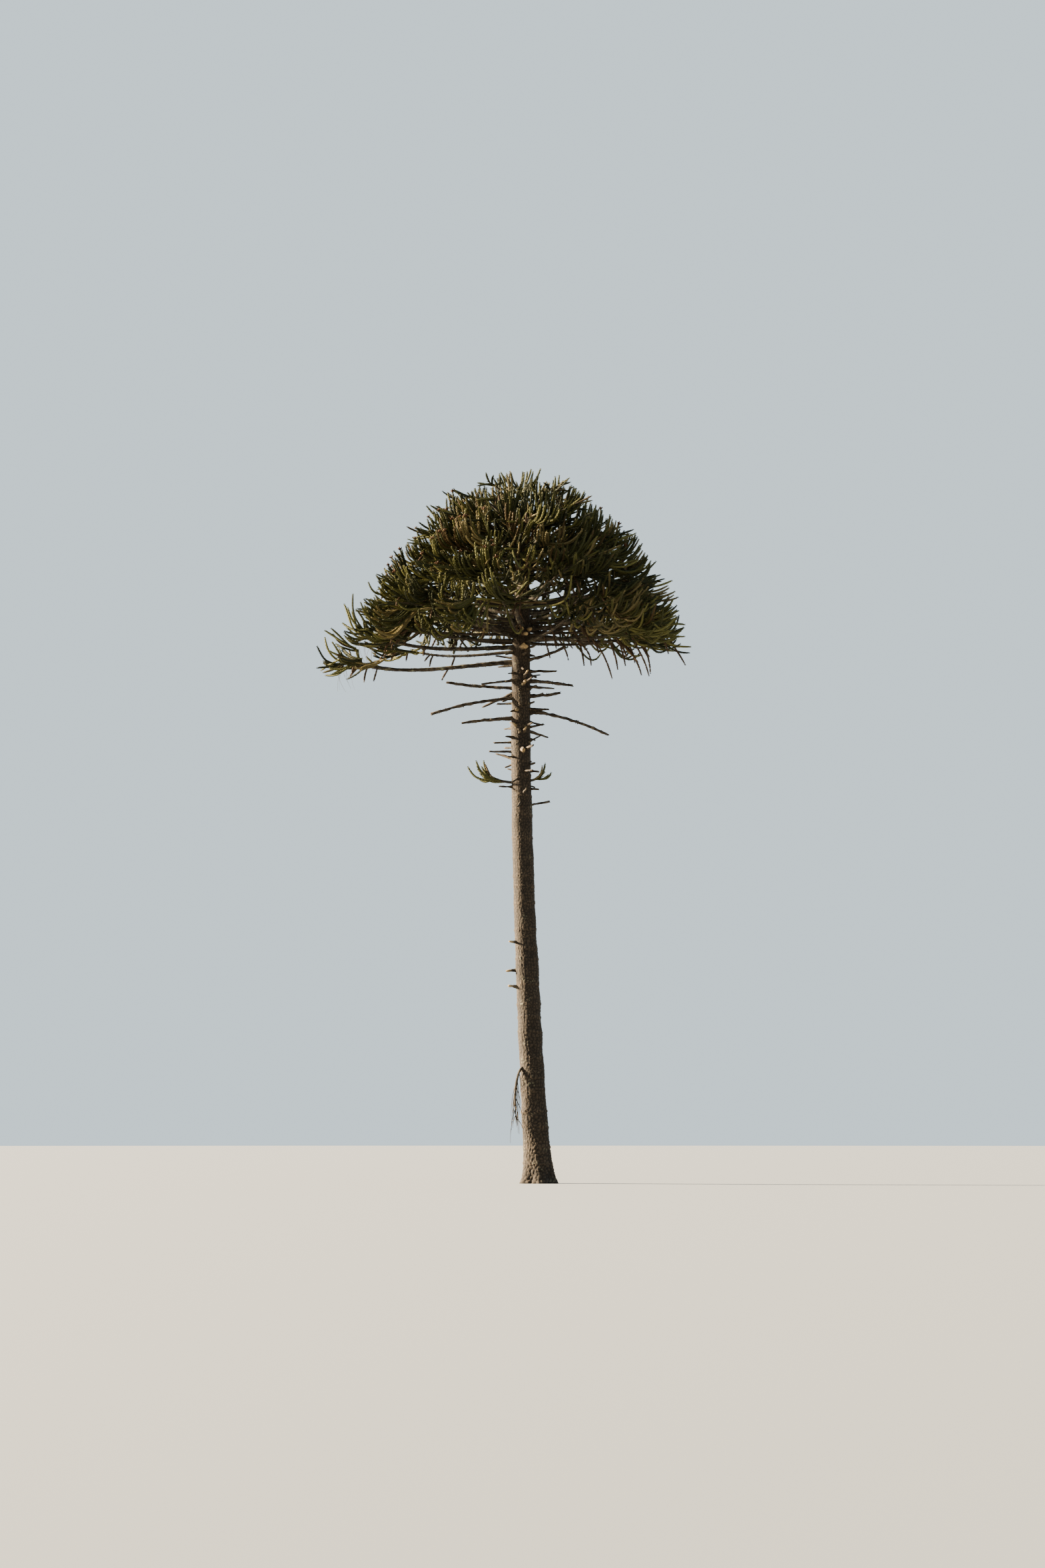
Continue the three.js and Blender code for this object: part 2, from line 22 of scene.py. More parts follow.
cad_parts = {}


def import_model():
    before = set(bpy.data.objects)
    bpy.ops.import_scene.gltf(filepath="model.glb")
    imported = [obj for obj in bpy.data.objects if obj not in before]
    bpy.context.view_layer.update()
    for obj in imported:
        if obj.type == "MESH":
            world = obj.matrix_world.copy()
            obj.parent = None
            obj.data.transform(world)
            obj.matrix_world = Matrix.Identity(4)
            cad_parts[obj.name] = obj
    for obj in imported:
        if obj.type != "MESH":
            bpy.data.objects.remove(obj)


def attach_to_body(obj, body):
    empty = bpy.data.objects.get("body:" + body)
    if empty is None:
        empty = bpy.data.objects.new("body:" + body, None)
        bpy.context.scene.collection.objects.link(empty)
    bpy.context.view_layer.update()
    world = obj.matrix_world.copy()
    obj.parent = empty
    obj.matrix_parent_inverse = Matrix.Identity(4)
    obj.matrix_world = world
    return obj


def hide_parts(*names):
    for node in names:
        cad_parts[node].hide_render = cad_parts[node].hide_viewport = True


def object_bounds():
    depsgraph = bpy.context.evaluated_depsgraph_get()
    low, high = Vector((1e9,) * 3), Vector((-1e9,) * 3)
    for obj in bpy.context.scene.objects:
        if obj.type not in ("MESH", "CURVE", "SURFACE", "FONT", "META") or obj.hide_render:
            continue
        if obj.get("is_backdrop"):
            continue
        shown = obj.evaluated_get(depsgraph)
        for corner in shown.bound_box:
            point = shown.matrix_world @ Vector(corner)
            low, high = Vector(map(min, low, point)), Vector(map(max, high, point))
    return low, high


log = logging.getLogger("tree")

SEED = 1871
MASK = 0xFFFFFFFF
KEY_SHIFT = 0x7F4A7C15
MIXERS = (0x85EBCA6B, 0xC2B2AE35)
TURN = 2.0 * math.pi
GOLDEN_TURN = TURN * 0.381966
UP = np.array([0.0, 0.0, 1.0])
BODY = "root"
PIECE_LIMIT = 185_000

Colour = tuple[float, float, float]
Face = tuple[int, ...]
Sizes = tuple[float, ...]
Span = tuple[float, float]
Array = np.ndarray
Number = float | Array
Values = dict[str, object]
Inputs = dict[str | int, object]
Material = bpy.types.Material
Node = bpy.types.Node
NodeTree = bpy.types.NodeTree
Object = bpy.types.Object
Socket = bpy.types.NodeSocket


def chance(*keys: int | Array) -> Number:
    """Return a number from 0 to 1 that depends only on whole-number keys, as in the solids' rule.

    Args:
        keys: Whole numbers from 0 up, or arrays of them.

    Returns:
        The number, or an array of them where a key is an array.
    """
    mixed = SEED
    for key in keys:
        mixed = ((mixed ^ ((key + KEY_SHIFT) & MASK)) * MIXERS[0]) & MASK
        mixed = mixed ^ (mixed >> 13)
        mixed = (mixed * MIXERS[1]) & MASK
        mixed = mixed ^ (mixed >> 16)
    return mixed / (MASK + 1)


def between(low: float, high: float, *keys: int) -> float:
    """Return a number from low to high that depends only on whole-number keys."""
    return low + (high - low) * chance(*keys)


def either_way(most: float, *keys: int) -> float:
    """Return a number from -most to most that depends only on whole-number keys."""
    return between(-most, most, *keys)


def outward(azimuth: float, rise: float = 0.0) -> Array:
    """Return the unit direction of an azimuth, counted from +X towards +Y and raised by an angle."""
    flat = math.cos(rise)
    return np.array([flat * math.cos(azimuth), flat * math.sin(azimuth), math.sin(rise)])


def unit(vector: Array) -> Array:
    """Return the vector at length one."""
    return vector / max(1e-9, float(np.linalg.norm(vector)))


def distance(first: Array, second: Array) -> float:
    """Return how far two points are apart."""
    return float(np.linalg.norm(second - first))


def eased(share: Number) -> Number:
    """Return a share from 0 to 1 that starts and ends gently."""
    held = np.clip(share, 0.0, 1.0)
    return held * held * (3.0 - 2.0 * held)


def profile(values: Sequence[float], shares: Array) -> Array:
    """Return values that are given at even steps, read at any shares of the whole."""
    return np.interp(shares, np.linspace(0.0, 1.0, len(values)), values)


def ripple(around: Array, along: Array, cells: int, key: int) -> Array:
    """Return soft lumps from -1 to 1 over a limb's skin, which close round it.

    Args:
        around: Place round the limb, from 0 to 1.
        along: Place along the limb, counted in cells.
        cells: Number of cells round the limb.
        key: Whole number that sets this pattern apart.

    Returns:
        The height at each place.
    """
    across = around * cells
    left, low = np.floor(across), np.floor(along)
    share_across, share_along = eased(across - left), eased(along - low)
    columns = [((left + step) % cells).astype(np.uint64) for step in (0, 1)]
    lower, upper = [
        chance(columns[0], row, key) * (1 - share_across) + chance(columns[1], row, key) * share_across
        for row in (low.astype(np.uint64), (low + 1).astype(np.uint64))
    ]
    return (lower * (1 - share_along) + upper * share_along) * 2.0 - 1.0


def plates(around: Array, along: Array, cells: int, key: int) -> Array:
    """Return how far each place lies inside its bark plate, from 0 in the crack to 1 well inside.

    Args:
        around: Place round the limb, from 0 to 1.
        along: Place along the limb, counted in plates, from 1 up.
        cells: Number of plates round the limb.
        key: Whole number that sets this pattern apart.

    Returns:
        The share at each place.
    """
    margin, inside, crack_width = 0.1, 0.8, 0.34
    across = around * cells
    nearest = second = np.full(across.shape, 9.0)
    for step_across in (-1, 0, 1):
        for step_along in (-1, 0, 1):
            column, row = np.floor(across) + step_across, np.floor(along) + step_along
            keys = ((column % cells).astype(np.uint64), row.astype(np.uint64))
            gap = np.hypot(
                across - column - margin - inside * chance(*keys, key),
                along - row - margin - inside * chance(*keys, key + 1),
            )
            second = np.minimum(second, np.maximum(nearest, gap))
            nearest = np.minimum(nearest, gap)
    return eased((second - nearest) / crack_width)


def new_mesh(
    name: str, points: Sequence[Sequence[float]], faces: Sequence[Face], edges: Sequence[Face] = ()
) -> bpy.types.Mesh:
    """Make a mesh.

    Args:
        name: Name of the mesh.
        points: Its points.
        faces: Its faces.
        edges: Its loose edges.

    Returns:
        The mesh.
    """
    mesh = bpy.data.meshes.new(name)
    mesh.from_pydata(points, edges, faces)
    return mesh


def placed(name: str, data: bpy.types.ID) -> Object:
    """Put data into the scene.

    Args:
        name: Name of the object.
        data: A mesh, a light or a camera.

    Returns:
        The object that shows it.
    """
    made = bpy.data.objects.new(name, data)
    bpy.context.scene.collection.objects.link(made)
    return made


def mark(mesh: bpy.types.Mesh, label: str, values: Sequence[float]) -> None:
    """Keep one number with each point of a mesh."""
    numbers = np.asarray(values, dtype=np.float32)
    mesh.attributes.new(label, "FLOAT", "POINT").data.foreach_set("value", numbers)


class Curve:
    """A Bezier curve with two to four control points, read by share of its length."""

    STEPS = 120

    def __init__(self, *points: Array) -> None:
        """Walk the curve once, so that a share of its length is quick to find.

        Args:
            points: The control points.
        """
        shares = np.linspace(0.0, 1.0, self.STEPS + 1)[:, None]
        layers = [np.broadcast_to(point, (self.STEPS + 1, 3)) for point in points]
        while len(layers) > 1:
            layers = [start + (end - start) * shares for start, end in zip(layers, layers[1:])]
        self.line = layers[0]
        self.travel = np.concatenate(([0.0], np.cumsum(np.linalg.norm(np.diff(self.line, axis=0), axis=1))))

    @property
    def length(self) -> float:
        """Length of the curve."""
        return float(self.travel[-1])

    def at(self, share: Number) -> Array:
        """Return the point, or the row of points, at a share of the length."""
        reached = np.asarray(share) * self.length
        return np.stack([np.interp(reached, self.travel, self.line[:, axis]) for axis in range(3)], axis=-1)

    def heading(self, share: float) -> Array:
        """Return the unit direction at a share of the length."""
        step = 1.0 / self.STEPS
        return unit(self.at(min(1.0, share + step)) - self.at(max(0.0, share - step)))


class Kind(Enum):
    """How a limb of the crown grows."""

    LOW = "low"
    TIER = "tier"
    FILLER = "filler"
    SPROUT = "sprout"
    LEADER = "leader"


@dataclass(frozen=True)
class Plan:
    """Where one bough leaves the trunk, where its foliage ends, and how wide that spreads."""

    name: str
    kind: Kind
    azimuth: float
    attach: float
    tip: float
    reach: float
    spread: float = 0.3
    bare: float = 0.5
    sag: float = 0.26
    rise: Span = (0.0, 0.0)
    bough: bool = True


def low_plans(label: str, kind: Kind, *figures: Sizes) -> tuple[Plan, ...]:
    """Return the plans of low boughs that have figures of their own.

    Args:
        label: Start of their names.
        kind: How they grow.
        figures: For each its azimuth in degrees, the heights of its foot and its tip, its reach, its bare
            share, its sag, and the least and greatest rise of its shoots.

    Returns:
        One plan for each.
    """
    return tuple(
        Plan(
            f"{label}_{number}", kind, math.radians(row[0]), *row[1:4], bare=row[4], sag=row[5], rise=row[6:]
        )
        for number, row in enumerate(figures, 1)
    )


@dataclass(frozen=True)
class Tier:
    """One whorl of boughs round the trunk; phase is in degrees."""

    label: str
    count: int
    phase: float
    attach: float
    tip: float
    back_lift: float = 0.0
    bough: bool = True


@dataclass(frozen=True)
class SideTwig:
    """A side twig: where it leaves its stem, how far to the side and how far out it goes, and its lift."""

    start: float
    side: float
    reach: float
    lift: float


@dataclass(frozen=True)
class Habit:
    """How this tree stands: the sizes that trunk, dome and limbs are worked out from."""

    height: float = 24.3
    trunk_top: float = 23.25
    foot_radius: float = 0.43
    lean: float = 0.59
    lean_height: float = 16.0
    top_swing: float = 0.15
    even_taper: float = 0.0069
    run_out_from: float = 18.0
    run_out_length: float = 5.6
    run_out_power: float = 1.6
    flare_size: float = 0.19
    flare_height: float = 0.52
    buttresses: int = 5
    buttress_depth: float = 0.38
    buttress_phase: float = 0.6
    crown_radius: float = 5.8
    crown_foot: float = 18.2
    dome_power: float = 1.63
    crown_axis: float = -0.63
    socket_depth: float = 0.5
    bend_handle: float = 0.33
    first_sag: float = 0.2
    stem_share: float = 0.84
    stem_lift: float = 0.18
    twig_bow: float = 0.14
    tier_rise: float = 0.25
    azimuth_jitter: float = 0.1
    height_jitter: float = 0.13

    def trunk_shift(self, height: Number) -> Number:
        """Find how far the trunk's axis stands towards +X.

        Args:
            height: At this height, or at each of these.

        Returns:
            The shift.
        """
        share = np.clip(np.asarray(height) / self.lean_height, 0.0, 1.0)
        above = np.maximum(0.0, (height - self.lean_height) / (self.trunk_top - self.lean_height))
        return -self.lean * np.sin(share * math.pi / 2) + self.top_swing * above**2

    def trunk_centre(self, height: float) -> Array:
        """Return the middle of the trunk at a height."""
        return np.array([float(self.trunk_shift(height)), 0.0, height])

    def trunk_radius(self, height: Number) -> Number:
        """Find the trunk's radius without the root flare.

        Args:
            height: At this height, or at each of these.

        Returns:
            The radius.
        """
        even = self.foot_radius - self.even_taper * np.minimum(height, self.run_out_from)
        run_out = np.maximum(0.0, height - self.run_out_from) / self.run_out_length
        return even * (1.0 - run_out**self.run_out_power)

    def flare(self, height: Array, angle: Array) -> Array:
        """Return how far the root flare stands out at each height and angle."""
        buttress = 1.0 + self.buttress_depth * np.cos(self.buttresses * angle + self.buttress_phase)
        return self.flare_size * np.exp(-height / self.flare_height) * buttress

    def dome_share(self, height: float) -> float:
        """Return how high up the dome a height is, from 0 to 1."""
        return min(1.0, max(0.0, (height - self.crown_foot) / (self.height - self.crown_foot)))

    def dome_radius(self, height: float) -> float:
        """Return the dome's radius at a height."""
        inner = 1.0 - self.dome_share(height) ** self.dome_power
        return self.crown_radius * inner ** (1.0 / self.dome_power)

    def dome_centre(self, height: float) -> Array:
        """Return the middle of the dome at a height."""
        return np.array([self.crown_axis, 0.0, height])

    def socket(self, azimuth: float, height: float) -> Array:
        """Return where a limb starts inside the trunk."""
        inside = float(self.trunk_radius(height)) * self.socket_depth
        return self.trunk_centre(height) + outward(azimuth) * inside

    def socket_length(self, height: float) -> float:
        """Return how far a limb runs inside the trunk."""
        return float(self.trunk_radius(height)) * (1.0 - self.socket_depth)

    def bough(self, plan: Plan) -> Curve:
        """Lay the curve of a bare bough: level from the trunk, a slight sag, a lift at its end.

        Args:
            plan: The bough's plan.

        Returns:
            The curve.
        """
        out = outward(plan.azimuth)
        start = self.socket(plan.azimuth, plan.attach)
        end = self.dome_centre(plan.tip) + out * plan.reach * plan.bare
        handle = distance(start, end) * self.bend_handle
        leaving = start + out * handle - UP * plan.sag * self.first_sag
        return Curve(start, leaving, end - out * handle - UP * plan.sag, end)

    def stem(self, plan: Plan, start: Array, heading: Array) -> Curve:
        """Return the stem of a mass, which goes on in its bough's own direction.

        Args:
            plan: The limb's plan.
            start: Where the stem begins.
            heading: Its direction there.

        Returns:
            The curve.
        """
        out = outward(plan.azimuth)
        end = self.dome_centre(plan.tip) + out * plan.reach * self.stem_share + UP * self.stem_lift
        handle = distance(start, end) * self.bend_handle
        return Curve(start, start + heading * handle, end - out * handle, end)

    def twig(self, plan: Plan, stem: Curve, twig: SideTwig) -> Curve:
        """Return the curve of a side twig, bowed outwards.

        Args:
            plan: The limb's plan.
            stem: The stem that it leaves.
            twig: Its figures.

        Returns:
            The curve.
        """
        start = stem.at(twig.start)
        heading = outward(plan.azimuth + twig.side * plan.spread)
        end = self.dome_centre(plan.tip) + heading * plan.reach * twig.reach + UP * twig.lift
        bow = outward(plan.azimuth) * distance(start, end) * self.twig_bow
        return Curve(start, (start + end) / 2 + bow, end)


@dataclass
class Shape:
    """A mesh in the making, with how high each point stands in the bark and how freshly it is broken."""

    points: Array
    faces: list[Face]
    relief: Array
    broken: Array

    @classmethod
    def joined(cls, shapes: Sequence["Shape"]) -> "Shape":
        """Join shapes into one.

        Args:
            shapes: The shapes.

        Returns:
            The shape that holds them all.
        """
        faces: list[Face] = []
        count = 0
        for shape in shapes:
            faces.extend(tuple(index + count for index in face) for face in shape.faces)
            count += len(shape.points)
        points = np.concatenate([shape.points for shape in shapes])
        relief = np.concatenate([shape.relief for shape in shapes])
        return cls(points, faces, relief, np.concatenate([shape.broken for shape in shapes]))

    def to_object(self, name: str, finish: Material) -> Object:
        """Return a smooth-shaded object, whose flat end caps keep their edge.

        Args:
            name: Name of the piece.
            finish: Its material.

        Returns:
            The object, linked to the scene.
        """
        mesh = new_mesh(name, self.points.tolist(), self.faces)
        mesh.polygons.foreach_set("use_smooth", [len(face) <= 4 for face in self.faces])
        mark(mesh, "relief", self.relief)
        mark(mesh, "broken", self.broken)
        mesh.update()
        mesh.materials.append(finish)
        return placed(name, mesh)


def ring_faces(rings: int, sides: int) -> list[Face]:
    """List the faces of a closed tube whose points stand ring after ring.

    Args:
        rings: Number of rings.
        sides: Points in each ring.

    Returns:
        The four-sided faces of the wall and the two end caps.
    """
    faces: list[Face] = []
    for start in range(0, (rings - 1) * sides, sides):
        for side in range(sides):
            after = (side + 1) % sides
            faces.append((start + side, start + after, start + sides + after, start + sides + side))
    faces.append(tuple(range(sides - 1, -1, -1)))
    faces.append(tuple(range((rings - 1) * sides, rings * sides)))
    return faces


@dataclass(frozen=True)
class LimbSkin:
    """The skin of a bare limb: how finely it is made and how rough it is.

    Knots and grain are shares of the limb's radius.
    """

    sides: int = 12
    ring_gap: float = 0.05
    knot_gap: float = 0.16
    knots: float = 0.13
    knots_round: int = 4
    grain: float = 0.07
    grain_gap: float = 0.4
    collar: float = 0.55
    collar_length: float = 0.16
    relief: float = 0.35
    splinter: float = 0.0
    broken_length: float = 0.0

    def shape(self, curve: Curve, radii: Sequence[float], key: int) -> Shape:
        """Return a closed skin round a curve.

        Args:
            curve: The limb's middle line.
            radii: Its radii from foot to tip, at even steps.
            key: Whole number that sets this limb apart.

        Returns:
            The skin.
        """
        rings = max(6, round(curve.length / self.ring_gap)) + 1
        shares = np.linspace(0.0, 1.0, rings)
        centres = curve.at(shares)
        normals, binormals = self._across(centres)
        travel = (shares * curve.length)[:, None]
        around = (np.arange(self.sides) / self.sides)[None, :]
        knots = ripple(around, travel / self.knot_gap, self.knots_round, key)
        grain = ripple(around, travel / (self.knot_gap * self.grain_gap), self.sides, key + 1)
        collar = self.collar * np.exp(-((travel / self.collar_length) ** 2))
        roughness = 1.0 + collar + self.knots * knots + self.grain * grain
        reach = profile(radii, shares)[:, None] * roughness
        angle = around * TURN
        points = (
            centres[:, None, :]
            + normals[:, None, :] * (np.cos(angle) * reach)[:, :, None]
            + binormals[:, None, :] * (np.sin(angle) * reach)[:, :, None]
        )
        ends = chance(np.arange(self.sides).astype(np.uint64), key + 2)
        points[-1] += curve.heading(1.0) * (self.splinter * ends)[:, None]
        # The knots and grain that bulge the skin also set the coloured relief, so its hollows take painted
        # shade.
        relief = np.clip(0.5 + self.relief * knots + self.relief * grain, 0.0, 1.0)
        broken = np.zeros(travel.shape)
        if self.broken_length:
            broken = np.clip(1.0 - (curve.length - travel) / self.broken_length, 0.0, 1.0)
        broken = np.broadcast_to(broken, (rings, self.sides)).reshape(-1)
        return Shape(points.reshape(-1, 3), ring_faces(rings, self.sides), relief.reshape(-1), broken)

    @staticmethod
    def _across(line: Array) -> tuple[Array, Array]:
        """Find two unit directions across each point of a line, carried along it without a twist.

        Args:
            line: The points.

        Returns:
            The directions, row by row.
        """
        headings = np.gradient(line, axis=0)
        headings /= np.linalg.norm(headings, axis=1)[:, None]
        side = unit(np.cross(UP if abs(headings[0][2]) < 0.9 else np.array([1.0, 0.0, 0.0]), headings[0]))
        normals = []
        for heading in headings:
            side = unit(side - heading * float(side @ heading))
            normals.append(side)
        return np.array(normals), np.cross(headings, np.array(normals))


def shown(sockets: Iterable[Socket], name: str = "") -> Socket:
    """Return the first socket that a node's settings show, of the given name where there is one."""
    return next(socket for socket in sockets if socket.enabled and name in ("", socket.name))


class Nodes:
    """Puts nodes into a tree and wires them up."""

    KINDS = {bool: "Bool", int: "Int", float: "Float"}

    def __init__(self, tree: NodeTree, inputs: Values | None = None) -> None:
        """Take the tree to work in, and give it its inputs.

        Args:
            tree: The tree.
            inputs: The value of each named input, or the kind of thing that it takes.
        """
        self.tree = tree
        for name, value in (inputs or {}).items():
            kind = f"NodeSocket{self.KINDS.get(type(value), value)}"
            made = tree.interface.new_socket(name, in_out="INPUT", socket_type=kind)
            if not isinstance(value, str):
                made.default_value = value
        self.given = tree.nodes.new("NodeGroupInput").outputs if inputs else None

    def fill(self, node: Node, inputs: Inputs) -> None:
        """Set a node's inputs.

        Args:
            node: The node.
            inputs: A value or the output that feeds it, for each input by name or by number.
        """
        for name, value in inputs.items():
            target = node.inputs[name] if isinstance(name, int) else shown(node.inputs, name)
            if isinstance(value, Socket):
                self.tree.links.new(value, target)
            else:
                target.default_value = value

    def add(self, kind: str, inputs: Inputs, **settings: object) -> Node:
        """Add a node.

        Args:
            kind: Its type.
            inputs: A value or an output socket for each input, by name or by number.
            settings: Properties of the node itself.

        Returns:
            The node.
        """
        node = self.tree.nodes.new(kind)
        for name, value in settings.items():
            setattr(node, name, value)
        self.fill(node, inputs)
        return node

    def out(self, kind: str, inputs: Inputs, **settings: object) -> Socket:
        """Add a node in the same way, and return its first output."""
        return shown(self.add(kind, inputs, **settings).outputs)

    def closed(self, name: str, kind: str, value: Socket) -> NodeTree:
        """Close the tree with its one output.

        Args:
            name: Name of the output.
            kind: Its kind.
            value: What feeds it.

        Returns:
            The tree.
        """
        self.tree.interface.new_socket(name, in_out="OUTPUT", socket_type=f"NodeSocket{kind}")
        self.add("NodeGroupOutput", {name: value})
        return self.tree

    def math(self, operation: str, first: object, second: object) -> Socket:
        """Return the result of a Math node on two values or sockets."""
        return self.out("ShaderNodeMath", {0: first, 1: second}, operation=operation)

    def product(self, *values: object) -> Socket:
        """Multiply values.

        Args:
            values: Values or sockets.

        Returns:
            Their product.
        """
        result = values[0]
        for value in values[1:]:
            result = self.math("MULTIPLY", result, value)
        return result

    def vector(self, operation: str, first: object, second: object) -> Socket:
        """Return the result of a Vector Math node on a vector and a second vector or a scale."""
        target = "Scale" if operation == "SCALE" else 1
        return self.out("ShaderNodeVectorMath", {0: first, target: second}, operation=operation)

    def mix(self, share: object, first: object, second: object) -> Socket:
        """Return a colour mixed from two by a share from 0 to 1."""
        return self.out("ShaderNodeMix", {"Factor": share, "A": first, "B": second}, data_type="RGBA")

    def noise(self, place: Socket, scale: object, detail: float, roughness: float = 0.5) -> Node:
        """Return a Noise node, whose first output is its value."""
        inputs = {"Vector": place, "Scale": scale, "Detail": detail, "Roughness": roughness}
        return self.add("ShaderNodeTexNoise", inputs)

    def ramp(self, value: object, low: object, high: object) -> Socket:
        """Return a share that eases from 0 at the low value to 1 at the high one."""
        inputs = {"Value": value, "From Min": low, "From Max": high}
        return self.out("ShaderNodeMapRange", inputs, interpolation_type="SMOOTHSTEP")

    def scaled(self, share: object, low: float, high: float) -> Socket:
        """Return the value at a share of the way from a low one to a high one."""
        return self.out("ShaderNodeMapRange", {"Value": share, "To Min": low, "To Max": high})

    def bump(self, strength: float, depth: float, height: Socket) -> Socket:
        """Return a normal that is bent by a height."""
        return self.out("ShaderNodeBump", {"Strength": strength, "Distance": depth, "Height": height})

    def group(self, tree: NodeTree, **values: float) -> Socket:
        """Return what a node group puts out for these inputs."""
        return self.out("ShaderNodeGroup", values, node_tree=tree)


@dataclass
class Strand:
    """A thin limb or shoot before it has a skin.

    Thickness holds its radii and leaves the sizes of its leaf whorls, both from root to tip at even steps.
    """

    curve: Curve
    thickness: Sizes
    leaves: Sizes = (0.0,)
    spray: int = 0


def bare_lines(strands: Sequence[Strand], step: float) -> Object:
    """Make bare lines for Geometry Nodes to grow a skin on.

    Args:
        strands: What is to be grown.
        step: Longest gap between neighbouring points.

    Returns:
        The lines, whose points carry their thickness and leaf size.
    """
    points, edges, thickness, leaf_sizes = [], [], [], []
    count = 0
    for strand in strands:
        steps = max(3, math.ceil(strand.curve.length / step))
        shares = np.linspace(0.0, 1.0, steps + 1)
        points.append(strand.curve.at(shares))
        thickness.append(profile(strand.thickness, shares))
        leaf_sizes.append(profile(strand.leaves, shares))
        edges.extend((index, index + 1) for index in range(count, count + steps))
        count += steps + 1
    lines = placed("lines", new_mesh("lines", np.concatenate(points).tolist(), [], edges))
    mark(lines.data, "thickness", np.concatenate(thickness))
    mark(lines.data, "leaf_size", np.concatenate(leaf_sizes))
    return lines


class Repeated:
    """A small object round +Z that Geometry Nodes repeat."""

    def __init__(self) -> None:
        """Start without points or faces."""
        self.points: list[tuple[float, ...]] = []
        self.faces: list[Face] = []

    def extend(self, points: Iterable[Sequence[float]], faces: Iterable[Face]) -> None:
        """Add points and faces.

        Args:
            points: The points.
            faces: The faces, which count from the first of these points.
        """
        start = len(self.points)
        self.points.extend(tuple(point) for point in points)
        self.faces.extend(tuple(start + index for index in face) for face in faces)

    def to_object(self, name: str) -> Object:
        """Return the object, linked to the scene."""
        return placed(name, new_mesh(name, self.points, self.faces))


def directions(count: int) -> Iterator[tuple[Array, Array]]:
    """Go round a ring.

    Args:
        count: How many stand in the ring.

    Yields:
        The outward direction of each and the direction across it.
    """
    for index in range(count):
        angle = TURN * index / count
        yield outward(angle), outward(angle + math.pi / 2)


@dataclass(frozen=True)
class LeafWhorl:
    """A ring of stiff, folded, pointed leaves that lean up the shoot."""

    leaves: int = 5
    foot: float = 0.018
    shoulder: float = 0.036
    tip: float = 0.040
    length: float = 0.066
    width: float = 0.042
    widest: float = 0.36

    def to_object(self) -> Object:
        """Make the whorl, for Geometry Nodes to repeat.

        Returns:
            The object.
        """
        whorl = Repeated()
        for out, across in directions(self.leaves):
            foot, tip = out * self.foot, out * self.tip + UP * self.length
            shoulder = out * self.shoulder + UP * self.length * self.widest
            half = across * self.width / 2
            whorl.extend((foot, shoulder + half, tip, shoulder - half), ((0, 1, 2), (0, 2, 3)))
        return whorl.to_object("leaf_whorl")


@dataclass(frozen=True)
class SpurRing:
    """Short spurs where old shoots fell, in shares of the limb's radius."""

    spurs: int = 2
    foot: float = 0.55
    foot_top: float = 1.2
    foot_low: float = 0.6
    reach: float = 1.4
    width: float = 0.8
    lean: float = 0.3
    height: float = 0.6

    def to_object(self) -> Object:
        """Make the ring of spurs, which stand high in the bark's relief.

        Returns:
            The object.
        """
        ring = Repeated()
        for out, across in directions(self.spurs):
            low = UP * self.foot_low
            corners = (across - low, UP * self.foot_top, -across - low)
            feet = [out * self.foot + corner * self.width / 2 for corner in corners]
            faces = ((0, 1, 3), (1, 2, 3), (2, 0, 3), (0, 2, 1))
            ring.extend([*feet, out * self.reach + UP * self.lean], faces)
        made = ring.to_object("spur_ring")
        mark(made.data, "relief", [self.height] * len(ring.points))
        return made


@dataclass(frozen=True)
class ConeCluster:
    """A few oblong pollen cones that splay from one shoot's tip."""

    cones: int = 4
    length: float = 0.11
    radius: float = 0.023
    splay: float = 0.75
    sides: int = 6
    outline: Sizes = (0.35, 0.85, 1.0, 0.85, 0.4)

    def to_object(self) -> Object:
        """Make the cluster, for Geometry Nodes to repeat.

        Returns:
            The object.
        """
        cluster = Repeated()
        rings = len(self.outline)
        for cone in range(self.cones):
            tilt = self.splay if cone else 0.0
            turned = Euler((0.0, tilt, TURN * cone / (self.cones - 1)), "XYZ").to_matrix()
            points = []
            for ring, share in enumerate(self.outline):
                for side in range(self.sides):
                    place = outward(TURN * (side + 0.5 * ring) / self.sides) * self.radius * share
                    points.append(turned @ Vector(place + UP * self.length * ring / (rings - 1)))
            cluster.extend(points, ring_faces(rings, self.sides))
        return cluster.to_object("cone_cluster")


